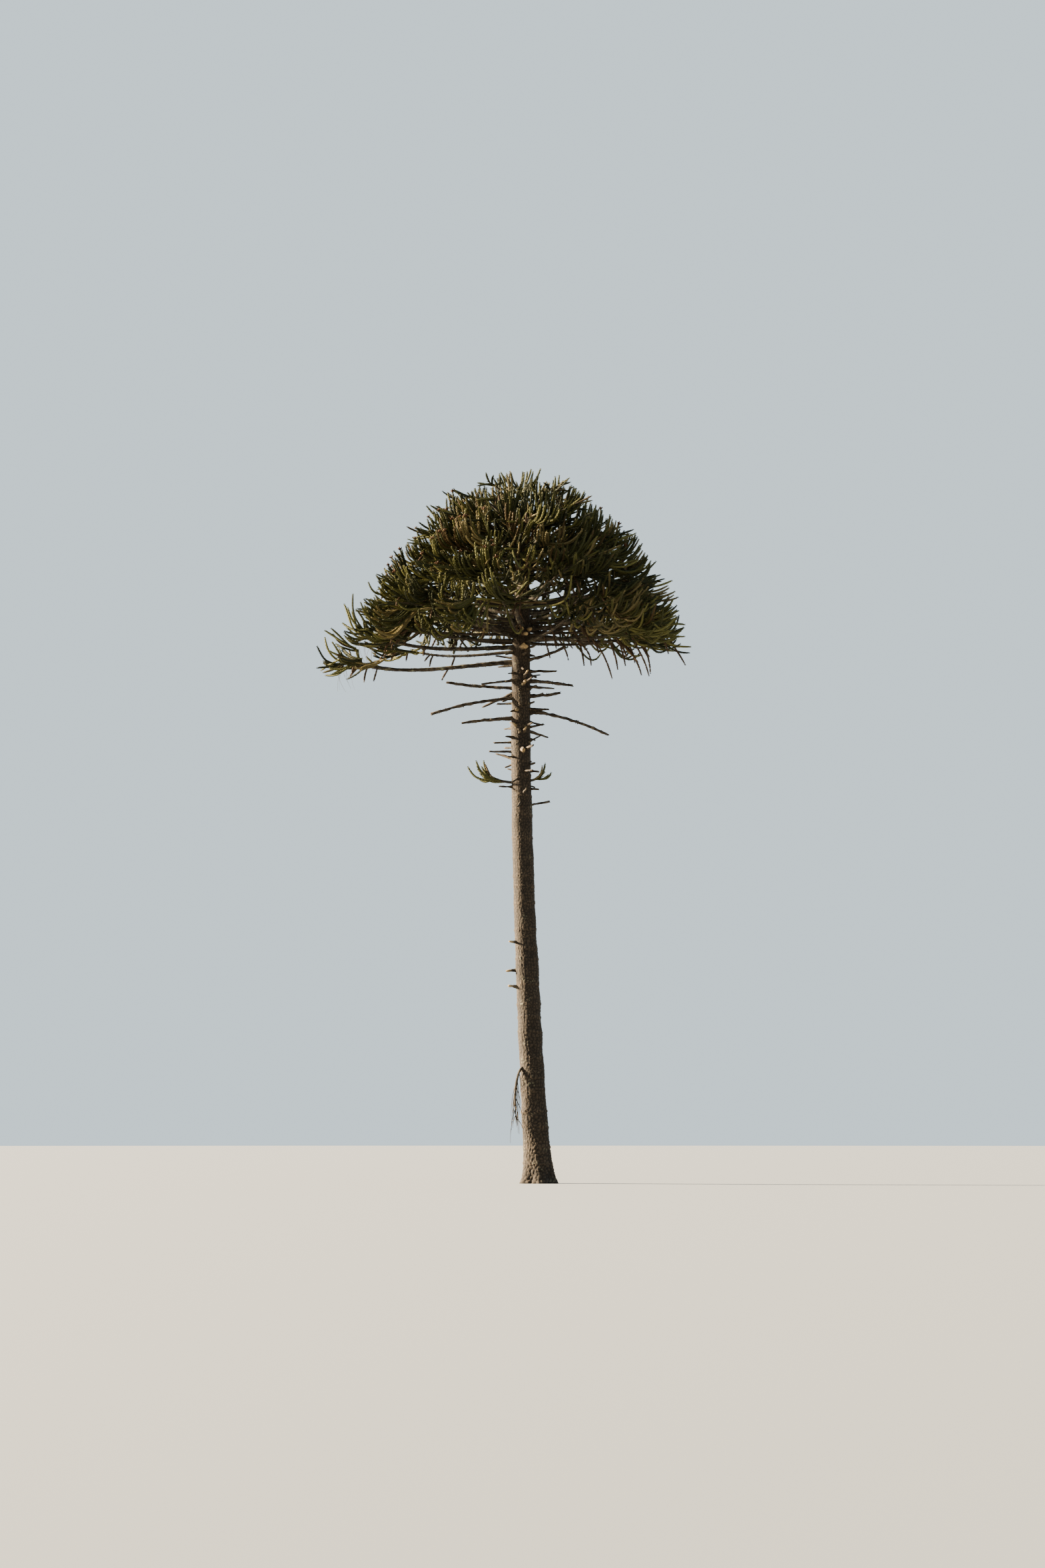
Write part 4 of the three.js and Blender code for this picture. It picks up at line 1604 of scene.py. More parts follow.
@dataclass
class DeadLimbs:
    """The dead limbs below the crown, and the one that has dropped beside the foot."""

    habit: Habit
    limbs: tuple[Stub, ...] = (
        Stub(356, 15.95, 2.56, -0.80),
        Stub(186, 16.40, 2.64, -0.56),
        Stub(172, 16.75, 2.15, 0.23),
        Stub(190, 15.70, 1.60, -0.19),
        Stub(8, 17.00, 1.38, -0.12),
        Stub(340, 17.70, 1.15, 0.33),
        Stub(84, 16.60, 1.50, -0.15),
        Stub(268, 16.15, 1.15, 0.16),
        Stub(22, 16.48, 1.05, 0.16),
    )
    radii: Sizes = (0.064, 0.055, 0.050, 0.042)
    skin: LimbSkin = LimbSkin(ring_gap=0.03, splinter=0.14, knots=0.32, grain=0.12)
    spur_sizes: Sizes = (0.060, 0.042, 0.064, 0.050, 0.036, 0.066, 0.040, 0.060, 0.046)
    bend: float = 0.15
    clear: float = 0.22
    hanging: Stub = Stub(214, 3.9, 0.42, -1.85)
    hanging_radii: Sizes = (0.044, 0.038, 0.032, 0.026, 0.014)
    hanging_return: float = 0.55
    twigs: int = 24
    twigs_from: float = 0.12
    twigs_along: float = 0.85
    twig_bow: float = 0.6
    twig_skin: LimbSkin = LimbSkin(sides=6, ring_gap=0.06, collar=0.2)
    twig_radii: Sizes = (0.014, 0.011, 0.005)
    twig_aside: Span = (0.06, 0.30)
    twig_drop: Span = (0.4, 1.3)
    lowest_end: float = 0.6

    def _curve(self, limb: Stub) -> Curve:
        """Lay the curve of a limb that leaves the trunk level and bends towards its broken end.

        Args:
            limb: The limb's figures.

        Returns:
            The curve.
        """
        azimuth, height, length, rise = limb.figures
        start = self.habit.socket(azimuth, height)
        end = start + outward(azimuth) * (self.habit.socket_length(height) + length)
        return Curve(start, (start + end) / 2 + UP * rise * self.bend, end + UP * rise)

    def _hanging_curve(self) -> Curve:
        """Lay the curve of the limb that has dropped.

        Returns:
            The curve.
        """
        azimuth, height, length, rise = self.hanging.figures
        out = outward(azimuth)
        start = self.habit.socket(azimuth, height)
        inside = self.habit.socket_length(height)
        end = start + out * (inside + length * self.hanging_return) + UP * rise
        return Curve(start, start + out * (inside + length), end)

    def taken(self, place: Array) -> bool:
        """Tell whether a place is too near a dead limb."""
        curves = [self._curve(limb) for limb in self.limbs]
        return any(np.linalg.norm(curve.line - place, axis=1).min() < self.clear for curve in curves)

    def build(self, wood: Material, trees: GrowTrees, spurs: Object) -> None:
        """Build and dress each dead limb.

        Args:
            wood: Finish of the wood.
            trees: The growing trees.
            spurs: The ring of spurs that stand out of the limbs.
        """
        curves = [self._curve(limb) for limb in self.limbs]
        for index, curve in enumerate(curves):
            name = f"dead_limb_{index + 1}"
            limb = self.skin.shape(curve, self.radii, 200 + index * 5)
            finished(limb.to_object(f"{name}_wood", wood), "deadwood", name)
        hanging = self._hanging().to_object("dead_limb_hanging_wood", wood)
        finished(hanging, "deadwood", "dead_limb_hanging")
        strands = [Strand(curve, self.radii, self.spur_sizes) for curve in curves]
        values = spur_values(wood, spurs, gap=0.06, fullness=0.65, seed=5)
        grow_piece("dead_limb_spurs", "deadwood", bare_lines(strands, step=0.08), trees.shoots, values)

    def _hanging(self) -> Shape:
        """Shape the limb that has dropped, with the thin twigs that hang from it.

        Returns:
            The shape.
        """
        curve = self._hanging_curve()
        shapes = [self.skin.shape(curve, self.hanging_radii, 290)]
        for index in range(self.twigs):
            start = curve.at(self.twigs_from + self.twigs_along * index / self.twigs)
            aside = outward(TURN * chance(index, 291)) * between(*self.twig_aside, index, 292)
            end = start + aside - UP * between(*self.twig_drop, index, 293)
            end[2] = max(end[2], self.lowest_end)
            middle = (start + end) / 2 + aside * self.twig_bow
            shapes.append(self.twig_skin.shape(Curve(start, middle, end), self.twig_radii, 294 + index * 3))
        return Shape.joined(shapes)


@dataclass
class Root:
    """A place on a twig or stem where a shoot can grow."""

    place: Array
    spray: int
    out: Array
    free: bool = True


@dataclass
class Mass:
    """One mass of foliage: its stem, its side twigs and the roots along them."""

    plan: Plan
    bough: Curve | None
    stem: Curve
    twigs: list[Curve]
    first_spray: int
    roots: list[Root] = field(default_factory=list)


@dataclass(frozen=True)
class Spray:
    """A hand of shoots: the middle of its tips, how deep they are, where it springs from and how it leans."""

    middle: Array
    depth: float
    base: Array
    lean: float
    lift: float


@dataclass
class Crown:
    """The crown's limbs and shoots, grown by the solids' rule and carried on to finer ones.

    The rises of sprays and tips are in degrees: at the dome's foot, and how many more at its top.
    """

    habit: Habit
    tiers: tuple[Tier, ...] = (
        Tier("first", 6, 30, 18.85, 19.05, 0.55),
        Tier("second", 6, 0, 19.70, 20.15),
        Tier("third", 6, 30, 20.50, 21.20, bough=False),
        Tier("fourth", 5, 10, 21.35, 22.15, bough=False),
        Tier("fifth", 3, 50, 22.15, 23.00, bough=False),
    )
    fillers: tuple[Tier, ...] = (
        Tier("between_1", 6, 0, 18.40, 18.72, 0.9),
        Tier("between_2", 6, 25, 18.62, 18.95, 0.7),
        Tier("between_3", 7, 12, 19.10, 19.50, 0.4),
        Tier("between_4", 7, 40, 19.45, 19.95, 0.2),
        Tier("between_5", 7, 8, 20.05, 20.65),
        Tier("between_6", 6, 35, 20.85, 21.65),
        Tier("between_7", 6, 5, 21.10, 21.90),
        Tier("between_8", 5, 30, 21.75, 22.60),
        Tier("between_9", 5, 20, 22.50, 23.30),
    )
    filler_keys: int = 10
    low_boughs: tuple[Plan, ...] = low_plans(
        "low",
        Kind.LOW,
        (176, 17.65, 17.56, 7.00, 0.75, 0.36, -0.55, 0.80),
        (190, 18.15, 18.18, 6.10, 0.68, 0.30, -0.20, 1.15),
        (5, 18.56, 18.42, 5.85, 0.56, 0.15, -0.50, 0.80),
        (333, 18.46, 18.30, 5.85, 0.54, 0.15, -0.55, 0.80),
    )
    bare_boughs: tuple[Plan, ...] = low_plans(
        "bare",
        Kind.FILLER,
        (163, 18.02, 18.10, 5.60, 0.62, 0.25, 0.0, 0.0),
        (199, 18.38, 18.42, 5.30, 0.58, 0.15, 0.0, 0.0),
        (178, 18.62, 18.74, 5.50, 0.60, 0.15, 0.0, 0.0),
        (15, 18.30, 18.42, 5.20, 0.55, 0.12, 0.0, 0.0),
    )
    side_twigs: tuple[SideTwig, ...] = (
        SideTwig(0.12, 0.62, 0.77, 0.12),
        SideTwig(0.12, -0.62, 0.77, 0.20),
        SideTwig(0.50, 0.30, 0.88, 0.38),
        SideTwig(0.04, 0.88, 0.66, 0.05),
        SideTwig(0.04, -0.88, 0.66, 0.10),
        SideTwig(0.30, 0.42, 0.84, -0.10),
        SideTwig(0.30, -0.42, 0.84, 0.05),
        SideTwig(0.50, -0.30, 0.90, 0.30),
        SideTwig(0.70, 0.16, 0.93, 0.50),
        SideTwig(0.70, -0.16, 0.93, 0.12),
        SideTwig(0.25, 0.20, 0.80, 0.58),
        SideTwig(0.25, -0.20, 0.80, 0.62),
    )
    filler_twigs: tuple[SideTwig, ...] = (
        SideTwig(0.35, 0.45, 0.78, 0.10),
        SideTwig(0.35, -0.45, 0.78, 0.22),
        SideTwig(0.60, 0.25, 0.88, 0.32),
        SideTwig(0.60, -0.25, 0.88, 0.05),
        SideTwig(0.80, 0.10, 0.94, 0.40),
    )
    sprouts: tuple[tuple[str, float, float, float], ...] = (
        ("left", 184.0, 13.50, 1.65),
        ("right", 350.0, 13.56, 0.76),
    )
    bough_radii: Sizes = (0.084, 0.074, 0.066, 0.060, 0.055)
    spur_sizes: Sizes = (0.080, 0.060, 0.086, 0.052, 0.078, 0.048, 0.074, 0.046, 0.070, 0.044)
    stem_radii: Sizes = (0.054, 0.046, 0.038, 0.026, 0.008)
    filler_radii: Sizes = (0.062, 0.050, 0.042, 0.036, 0.030, 0.022, 0.008)
    filler_spurs: Sizes = (0.060, 0.050)
    spur_core: Sizes = (0.04,)
    trunk_stem_radii: Sizes = (0.070, 0.058, 0.048, 0.038, 0.024, 0.008)
    twig_radii: Sizes = (0.032, 0.032, 0.032, 0.031, 0.030, 0.016)
    twig_leaves: Sizes = (0.85, 0.92, 0.95, 0.95, 0.92, 0.55)
    shoot_radii: Sizes = (0.026, 0.029, 0.032, 0.033, 0.033, 0.033, 0.032, 0.019)
    shoot_leaves: Sizes = (0.78, 0.88, 0.95, 0.98, 0.98, 0.98, 0.96, 0.74)
    dead_radii: Sizes = (0.022, 0.027, 0.029, 0.028, 0.016)
    dead_leaves: Sizes = (0.72, 0.84, 0.88, 0.86, 0.62)
    root_gap: float = 0.05
    last_root: float = 0.97
    rooted_share: float = 0.82
    root_heading: float = 0.8
    leader_height: float = 0.4
    leader_twigs: int = 4
    leader_phase: float = 0.3
    leader_steps: Span = (0.5, 0.1)
    leader_spread: float = 0.8
    leader_tilt: float = 0.3
    sprout_stem: float = 0.6
    sprout_tilt: float = 0.25
    sprout_rise: Span = (0.12, 0.66)
    sprout_shoots: float = 6.0
    sprout_roots: Span = (0.25, 0.95)
    sprout_spread: float = 0.45
    sprout_stray: float = 0.12
    sprout_reach: Span = (0.62, 0.98)
    sprout_bend: Span = (0.3, 0.95)
    low_shoots: int = 38
    low_tries: int = 190
    low_length: Span = (0.8, 1.6)
    low_cut: Span = (0.7, 1.0)
    low_bend: Span = (-0.1, 0.7)
    fan_spread: float = 0.95
    dome_shoots: int = 3500
    dome_hang: float = 0.3
    dome_roughness: float = 0.05
    dome_steps: int = 400
    back_edge_lift: float = 1.3
    dome_sprays: int = 260
    spray_phase: float = 0.7
    spray_pull: float = 0.27
    inner_pull: float = 0.3
    spray_depth: float = 0.11
    even_high: float = 0.6
    spray_lean: float = 0.5
    spray_lift: float = 0.3
    spray_rise: Span = (-14.0, 84.0)
    rise_power: float = 1.5
    tip_rise: Span = (31.0, 45.0)
    tip_lift: float = 0.3
    tip_lean: float = 0.4
    base_spread: float = 0.3
    spray_draw: Span = (0.35, 0.65)
    gaps: float = 0.40
    edge_gaps: float = 0.6
    gaps_behind: float = 0.85
    gaps_before: float = 0.62
    gaps_facing: float = 1.5
    gaps_up_to: float = 0.5
    edge_up_to: float = 0.25
    denser_high: float = 0.5
    strays: float = 0.1
    stray_reach: Span = (0.02, 0.065)
    inner_share: float = 0.33
    inner_depth: Span = (0.5, 0.92)
    shoot_length: Span = (1.0, 1.6)
    shoot_out: float = 0.35
    shoot_droop: float = 0.42
    shoot_handles: Span = (0.45, 0.5)
    longer_low: float = 0.25
    shortest_shoot: float = 0.4
    longest_shoot: float = 2.2
    roots_tried: int = 40
    dead_count: int = 210
    dead_low: float = 1.6
    dead_on_bough: float = 0.3
    dead_along_bough: Span = (0.35, 1.0)
    dead_along_twig: Span = (0.05, 0.75)
    dead_fewer_left: float = 0.7
    dead_length: Span = (0.2, 0.55)
    dead_longer_right: float = 0.75
    dead_lean: float = 0.5
    dead_away: Span = (0.2, 1.0)
    dead_bow: Span = (0.3, 1.0)
    dead_drop: float = 0.4
    masses: list[Mass] = field(default_factory=list)
    shoots: list[Strand] = field(default_factory=list)
    dead_shoots: list[Strand] = field(default_factory=list)

    def _tier_plans(self, tier: Tier, level: int, kind: Kind) -> Iterator[Plan]:
        """Yield the plan of each limb of one whorl.

        Args:
            tier: The whorl.
            level: Its number, which its jitter depends on.
            kind: How its limbs grow.

        Yields:
            The plans.
        """
        for index in range(tier.count):
            turn = math.radians(tier.phase) + TURN * index / tier.count
            aside, up, tip_up = (either_way(1, level, index, key) for key in (1, 2, 3))
            lift = tier.back_lift * max(0.0, math.sin(turn)) ** 2
            tip = tier.tip + lift + tip_up * self.habit.height_jitter
            yield Plan(
                f"{tier.label}_{index + 1}",
                kind,
                turn + aside * self.habit.azimuth_jitter,
                tier.attach + lift / 2 + up * self.habit.height_jitter,
                tip,
                self.habit.dome_radius(tip),
                math.pi / tier.count,
                bough=tier.bough,
            )

    def _add_mass(self, plan: Plan, bough: Curve | None, stem: Curve, twigs: list[Curve]) -> None:
        """Add a mass with its roots.

        Args:
            plan: The limb's plan.
            bough: Its bare bough, if it has one.
            stem: Its stem.
            twigs: Its side twigs.
        """
        first = sum(len(mass.twigs) + 1 for mass in self.masses)
        mass = Mass(plan, bough, stem, twigs, first)
        for number, curve in enumerate([stem, *twigs]):
            count = max(2, round(curve.length / self.root_gap))
            shares = self.last_root * (1.0 - self.rooted_share * np.arange(count) / count)
            out = curve.heading(self.root_heading)
            mass.roots.extend(Root(place, first + number, out) for place in curve.at(shares))
        self.masses.append(mass)

    def _add_branch(self, plan: Plan) -> None:
        """Add a bough, its stem and its twigs.

        Args:
            plan: Their plan.
        """
        if plan.bough:
            bough = self.habit.bough(plan)
            start, heading = bough.at(1.0), bough.heading(1.0)
        else:
            bough = None
            start = self.habit.socket(plan.azimuth, plan.attach)
            heading = outward(plan.azimuth, self.habit.tier_rise)
        stem = self.habit.stem(plan, start, heading)
        twigs = self.filler_twigs if plan.kind is Kind.FILLER else self.side_twigs
        self._add_mass(plan, bough, stem, [self.habit.twig(plan, stem, twig) for twig in twigs])

    def _add_sprout(self, label: str, degrees: float, height: float, reach: float) -> None:
        """Add one of the live sprouts low on the trunk.

        Args:
            label: Its side.
            degrees: Its azimuth.
            height: Its height.
            reach: How far it reaches.
        """
        azimuth = math.radians(degrees)
        start = self.habit.socket(azimuth, height)
        length = self.habit.socket_length(height) + reach * self.sprout_stem
        middle, end = outward(azimuth) * length / 2, outward(azimuth, self.sprout_tilt) * length
        plan = Plan(f"sprout_{label}", Kind.SPROUT, azimuth, height, height, reach, rise=self.sprout_rise)
        self._add_mass(plan, None, Curve(start, start + middle, start + end), [])

    def _add_leader(self) -> None:
        """Add the leader on the trunk's top."""
        foot = self.habit.trunk_centre(self.habit.trunk_top)
        twigs = []
        for index in range(self.leader_twigs * 2):
            azimuth = TURN * (index / 2 + self.leader_phase) / self.leader_twigs
            start = foot + UP * self.leader_height * self.leader_steps[index % 2]
            middle = start + outward(azimuth) * self.leader_spread / 2
            end = start + outward(azimuth, self.leader_tilt) * self.leader_spread
            twigs.append(Curve(start, middle, end))
        plan = Plan("leader", Kind.LEADER, 0.0, self.habit.trunk_top, self.habit.height, 1.0)
        self._add_mass(plan, None, Curve(foot, foot + UP * self.leader_height), twigs)

    def _shoot(self, root: Root, tip: Array, end: Array) -> None:
        """Grow a live shoot that hangs out from its root and turns up to its tip.

        Args:
            root: Where it grows.
            tip: Where it ends.
            end: Its direction there.
        """
        length = distance(root.place, tip)
        start = unit(unit(tip - root.place) + root.out * self.shoot_out - UP * self.shoot_droop)
        leaving, coming = self.shoot_handles
        curve = Curve(root.place, root.place + start * length * leaving, tip - end * length * coming, tip)
        root.free = False
        self.shoots.append(Strand(curve, self.shoot_radii, self.shoot_leaves, root.spray))

    def _grow_fan(self, mass: Mass, order: int) -> None:
        """Grow the free fan of a low mass, within its own reach.

        Args:
            mass: The mass.
            order: Its number.
        """
        grown = 0
        for index in range(self.low_tries):
            roots = [root for root in mass.roots if root.free]
            if grown >= self.low_shoots or not roots:
                return
            root = roots[int(chance(order, index, 31) * len(roots))]
            azimuth = mass.plan.azimuth + either_way(self.fan_spread, order, index, 32)
            rise = between(*mass.plan.rise, order, index, 33)
            length = between(*self.low_length, order, index, 34) * between(*self.low_cut, order, index, 35)
            tip = root.place + outward(azimuth, rise) * length
            if distance(self.habit.dome_centre(tip[2]), tip) <= mass.plan.reach:
                self._shoot(root, tip, outward(azimuth, rise + between(*self.low_bend, order, index, 36)))
                grown += 1

    def _grow_sprout(self, mass: Mass, order: int) -> None:
        """Grow the hand of shoots of a sprout: out from near the trunk and up at their ends.

        Args:
            mass: The sprout's mass.
            order: Its number.
        """
        plan = mass.plan
        foot = mass.stem.at(0.0)
        inside = self.habit.socket_length(plan.attach)
        count = round(self.sprout_shoots * plan.reach)
        for index in range(count):
            share = (index + chance(order, index, 37)) / count
            root = mass.roots[int(between(*self.sprout_roots, order, index, 31) * len(mass.roots))]
            azimuth = plan.azimuth + either_way(self.sprout_spread, order, index, 32)
            reach = plan.reach * between(*self.sprout_reach, order, index, 34) + inside
            rise = plan.rise[1] + (plan.rise[0] - plan.rise[1]) * share
            rise += either_way(self.sprout_stray, order, index, 33)
            bend = between(*self.sprout_bend, order, index, 36)
            self._shoot(root, foot + outward(azimuth, rise) * reach, outward(azimuth, rise + bend))

    def _thinned(self, azimuth: float, share: float, draw: float) -> bool:
        """Tell whether a shoot is left out, which opens the crown low down at the front and the back.

        Args:
            azimuth: Its azimuth.
            share: How high up the dome it is, from 0 to 1.
            draw: Its own draw from 0 to 1.

        Returns:
            True if it is left out.
        """
        facing = 1.0 - abs(math.cos(azimuth)) ** self.gaps_facing
        low = 1.0 - float(eased(share / self.gaps_up_to))
        edge = 1.0 - float(eased(share / self.edge_up_to))
        seen_through = self.gaps_behind if math.sin(azimuth) > 0 else self.gaps_before
        everywhere = self.gaps * (1.0 - self.denser_high * share)
        return draw < max(seen_through * facing * low, self.edge_gaps * edge, everywhere)

    def _spread_heights(self, count: int) -> Array:
        """Find heights that share out the dome's surface evenly.

        Args:
            count: How many.

        Returns:
            The heights, from the dome's top down.
        """
        heights = np.linspace(self.habit.height, self.habit.crown_foot - self.dome_hang, self.dome_steps)
        radii = np.array([self.habit.dome_radius(height) for height in heights])
        steps = np.hypot(np.diff(radii), np.diff(heights)) * (radii[1:] + radii[:-1]) / 2
        covered = np.concatenate([[0.0], np.cumsum(steps)])
        return np.interp((np.arange(count) + 0.5) / count, covered / covered[-1], heights)

    def _spray(self, index: int, height: float) -> Spray:
        """Return one of the sprays that the dome's shoots draw together into.

        Args:
            index: Its number.
            height: Its height on the full dome.

        Returns:
            The spray.
        """
        azimuth = index * GOLDEN_TURN + self.spray_phase
        share = self.habit.dome_share(height)
        depth = 1.0 - self.spray_depth * chance(index, 48) * (1.0 - self.even_high * share)
        middle = self._on_dome(height, azimuth, depth)
        lean, lift = either_way(self.spray_lean, index, 50), either_way(self.spray_lift, index, 49)
        lowest, more = self.spray_rise
        rise = math.radians(lowest + more * share**self.rise_power) + lift
        length = between(*self.shoot_length, index, 47) * (1.0 + self.longer_low * (1.0 - share))
        return Spray(middle, depth, middle - outward(azimuth + lean, rise) * length, lean, lift)

    def _on_dome(self, height: float, azimuth: float, share: float) -> Array:
        """Return a place on the dome, drawn in towards the crown's heart.

        Args:
            height: Its height on the full dome.
            azimuth: Its azimuth.
            share: How far out it is, from 0 at the heart to 1 on the dome.

        Returns:
            The place.
        """
        heart = self.habit.dome_centre(self.habit.crown_foot)
        place = self.habit.dome_centre(height) + outward(azimuth) * self.habit.dome_radius(height)
        return heart + (place - heart) * share

    @staticmethod
    def _tree_of(places: Sequence[Array]) -> KDTree:
        """Make a search tree.

        Args:
            places: What it finds.

        Returns:
            The tree.
        """
        tree = KDTree(len(places))
        for index, place in enumerate(places):
            tree.insert(place, index)
        tree.balance()
        return tree

    def _grow_dome(self) -> None:
        """Spread shoot tips over the dome in sprays, each on the nearest root that suits it."""
        roots = [root for mass in self.masses if mass.plan.kind is not Kind.SPROUT for root in mass.roots]
        tree = self._tree_of([root.place for root in roots])
        sprays = [self._spray(*pair) for pair in enumerate(self._spread_heights(self.dome_sprays))]
        middles = self._tree_of([spray.middle for spray in sprays])
        edge = self.habit.crown_foot - self.dome_hang
        own_draw, shared_draw = self.spray_draw
        lowest, more = self.tip_rise
        for index, height in enumerate(self._spread_heights(self.dome_shoots)):
            azimuth = (index * GOLDEN_TURN) % TURN
            share = self.habit.dome_share(height)
            if height < edge + self.back_edge_lift * max(0.0, math.sin(azimuth)) ** 2:
                continue
            number = middles.find(self._on_dome(height, azimuth, 1.0))[1]
            if self._thinned(azimuth, share, own_draw * chance(index, 44) + shared_draw * chance(number, 40)):
                continue
            spray = sprays[number]
            inner = between(*self.inner_depth, index, 42) if chance(index, 41) < self.inner_share else 1.0
            stray = between(*self.stray_reach, index, 38) if chance(index, 39) < self.strays else 0.0
            depth = spray.depth * inner * (1.0 - self.dome_roughness * chance(index, 43) + stray)
            tip = self._on_dome(height, azimuth, depth)
            tip = tip + (spray.middle - tip) * self.spray_pull * (1.0 if inner == 1.0 else self.inner_pull)
            rise = math.radians(lowest + more * share) + spray.lift + either_way(self.tip_lift, index, 45)
            lean = azimuth + spray.lean + either_way(self.tip_lean, index, 46)
            wanted = spray.base + (tip - spray.middle) * self.base_spread
            for _, found, _ in tree.find_n(wanted, self.roots_tried):
                root = roots[found]
                if root.free and self.shortest_shoot < distance(tip, root.place) < self.longest_shoot:
                    self._shoot(root, tip, outward(lean, rise))
                    break

    def _grow_dead(self) -> None:
        """Hang dead shoots under the lower boughs, longest on the right."""
        lower = sorted((mass for mass in self.masses if mass.bough), key=lambda mass: mass.plan.tip)
        for index in range(self.dead_count):
            mass = lower[int(chance(index, 51) ** self.dead_low * len(lower))]
            if chance(index, 52) < self.dead_on_bough:
                start = mass.bough.at(between(*self.dead_along_bough, index, 53))
            else:
                limbs = [mass.stem, *mass.twigs]
                limb = limbs[int(chance(index, 54) * len(limbs))]
                start = limb.at(between(*self.dead_along_twig, index, 53))
            right = max(0.0, math.cos(mass.plan.azimuth))
            if mass.plan.kind is Kind.LOW and right == 0.0 and chance(index, 59) < self.dead_fewer_left:
                continue
            shortest, longest = self.dead_length
            length = between(shortest, longest + self.dead_longer_right * right, index, 55)
            lean = mass.plan.azimuth + either_way(self.dead_lean, index, 56)
            away = outward(lean) * length * between(*self.dead_away, index, 57)
            middle = start + away * between(*self.dead_bow, index, 58) - UP * length * self.dead_drop
            curve = Curve(start, middle, start + away - UP * length)
            self.dead_shoots.append(Strand(curve, self.dead_radii, self.dead_leaves, index))

    def grow(self) -> None:
        """Grow every limb and shoot."""
        plans = list(self.low_boughs)
        for level, tier in enumerate(self.tiers):
            plans.extend(self._tier_plans(tier, level, Kind.TIER))
        plans.extend(self.bare_boughs)
        for level, tier in enumerate(self.fillers, self.filler_keys):
            plans.extend(self._tier_plans(tier, level, Kind.FILLER))
        for plan in plans:
            self._add_branch(plan)
        for sprout in self.sprouts:
            self._add_sprout(*sprout)
        self._add_leader()
        for order, mass in enumerate(self.masses):
            if mass.plan.kind is Kind.LOW:
                self._grow_fan(mass, order)
            elif mass.plan.kind is Kind.SPROUT:
                self._grow_sprout(mass, order)
        self._grow_dome()
        self._grow_dead()
        log.info("%d masses, %d live shoots", len(self.masses), len(self.shoots))

    def named_nodes(self) -> list[str]:
        """List the solids that the foliage stands for.

        Returns:
            Their names.
        """
        plans = [mass.plan for mass in self.masses if mass.plan.kind is not Kind.FILLER]
        return [plan.name if plan.kind is Kind.SPROUT else f"foliage_{plan.name}" for plan in plans]

    def build_boughs(self, bark: Material) -> None:
        """Build and dress each bare bough that has a solid.

        Args:
            bark: Finish of the boughs.
        """
        skin = LimbSkin(ring_gap=0.045)
        for number, mass in enumerate(self.masses):
            if mass.bough and mass.plan.kind is not Kind.FILLER:
                name = f"bough_{mass.plan.name}"
                bough = skin.shape(mass.bough, self.bough_radii, 600 + number * 5)
                finished(bough.to_object(f"{name}_bark", bark), "bark", name)

    def build_stems(self, bark: Material, trees: GrowTrees, spurs: Object) -> None:
        """Build and dress the stems and the boughs between the whorls, with their spurs.

        Args:
            bark: Finish of the limbs.
            trees: The growing trees.
            spurs: The ring of spurs.
        """
        strands, spurred = [], []
        for mass in self.masses:
            radii = self.stem_radii
            if mass.plan.kind is Kind.FILLER:
                strands.append(Strand(mass.bough, self.filler_radii[:4]))
                spurred.append(Strand(mass.bough, self.spur_core, self.filler_spurs))
                radii = self.filler_radii[3:]
            elif mass.bough:
                spurred.append(Strand(mass.bough, self.spur_core, self.spur_sizes))
            elif mass.plan.kind is Kind.TIER:
                radii = self.trunk_stem_radii
            strands.append(Strand(mass.stem, radii))
        values = {"Finish": bark, "Sides": 8, "Ring Gap": 0.075, "Knot Size": 0.06, "Knot Depth": 0.012}
        grow_piece("crown_limbs", "bark", bare_lines(strands, step=0.12), trees.limbs, values)
        values = spur_values(bark, spurs, gap=0.05, fullness=0.8, seed=3)
        grow_piece("bough_spurs", "bark", bare_lines(spurred, step=0.1), trees.shoots, values)


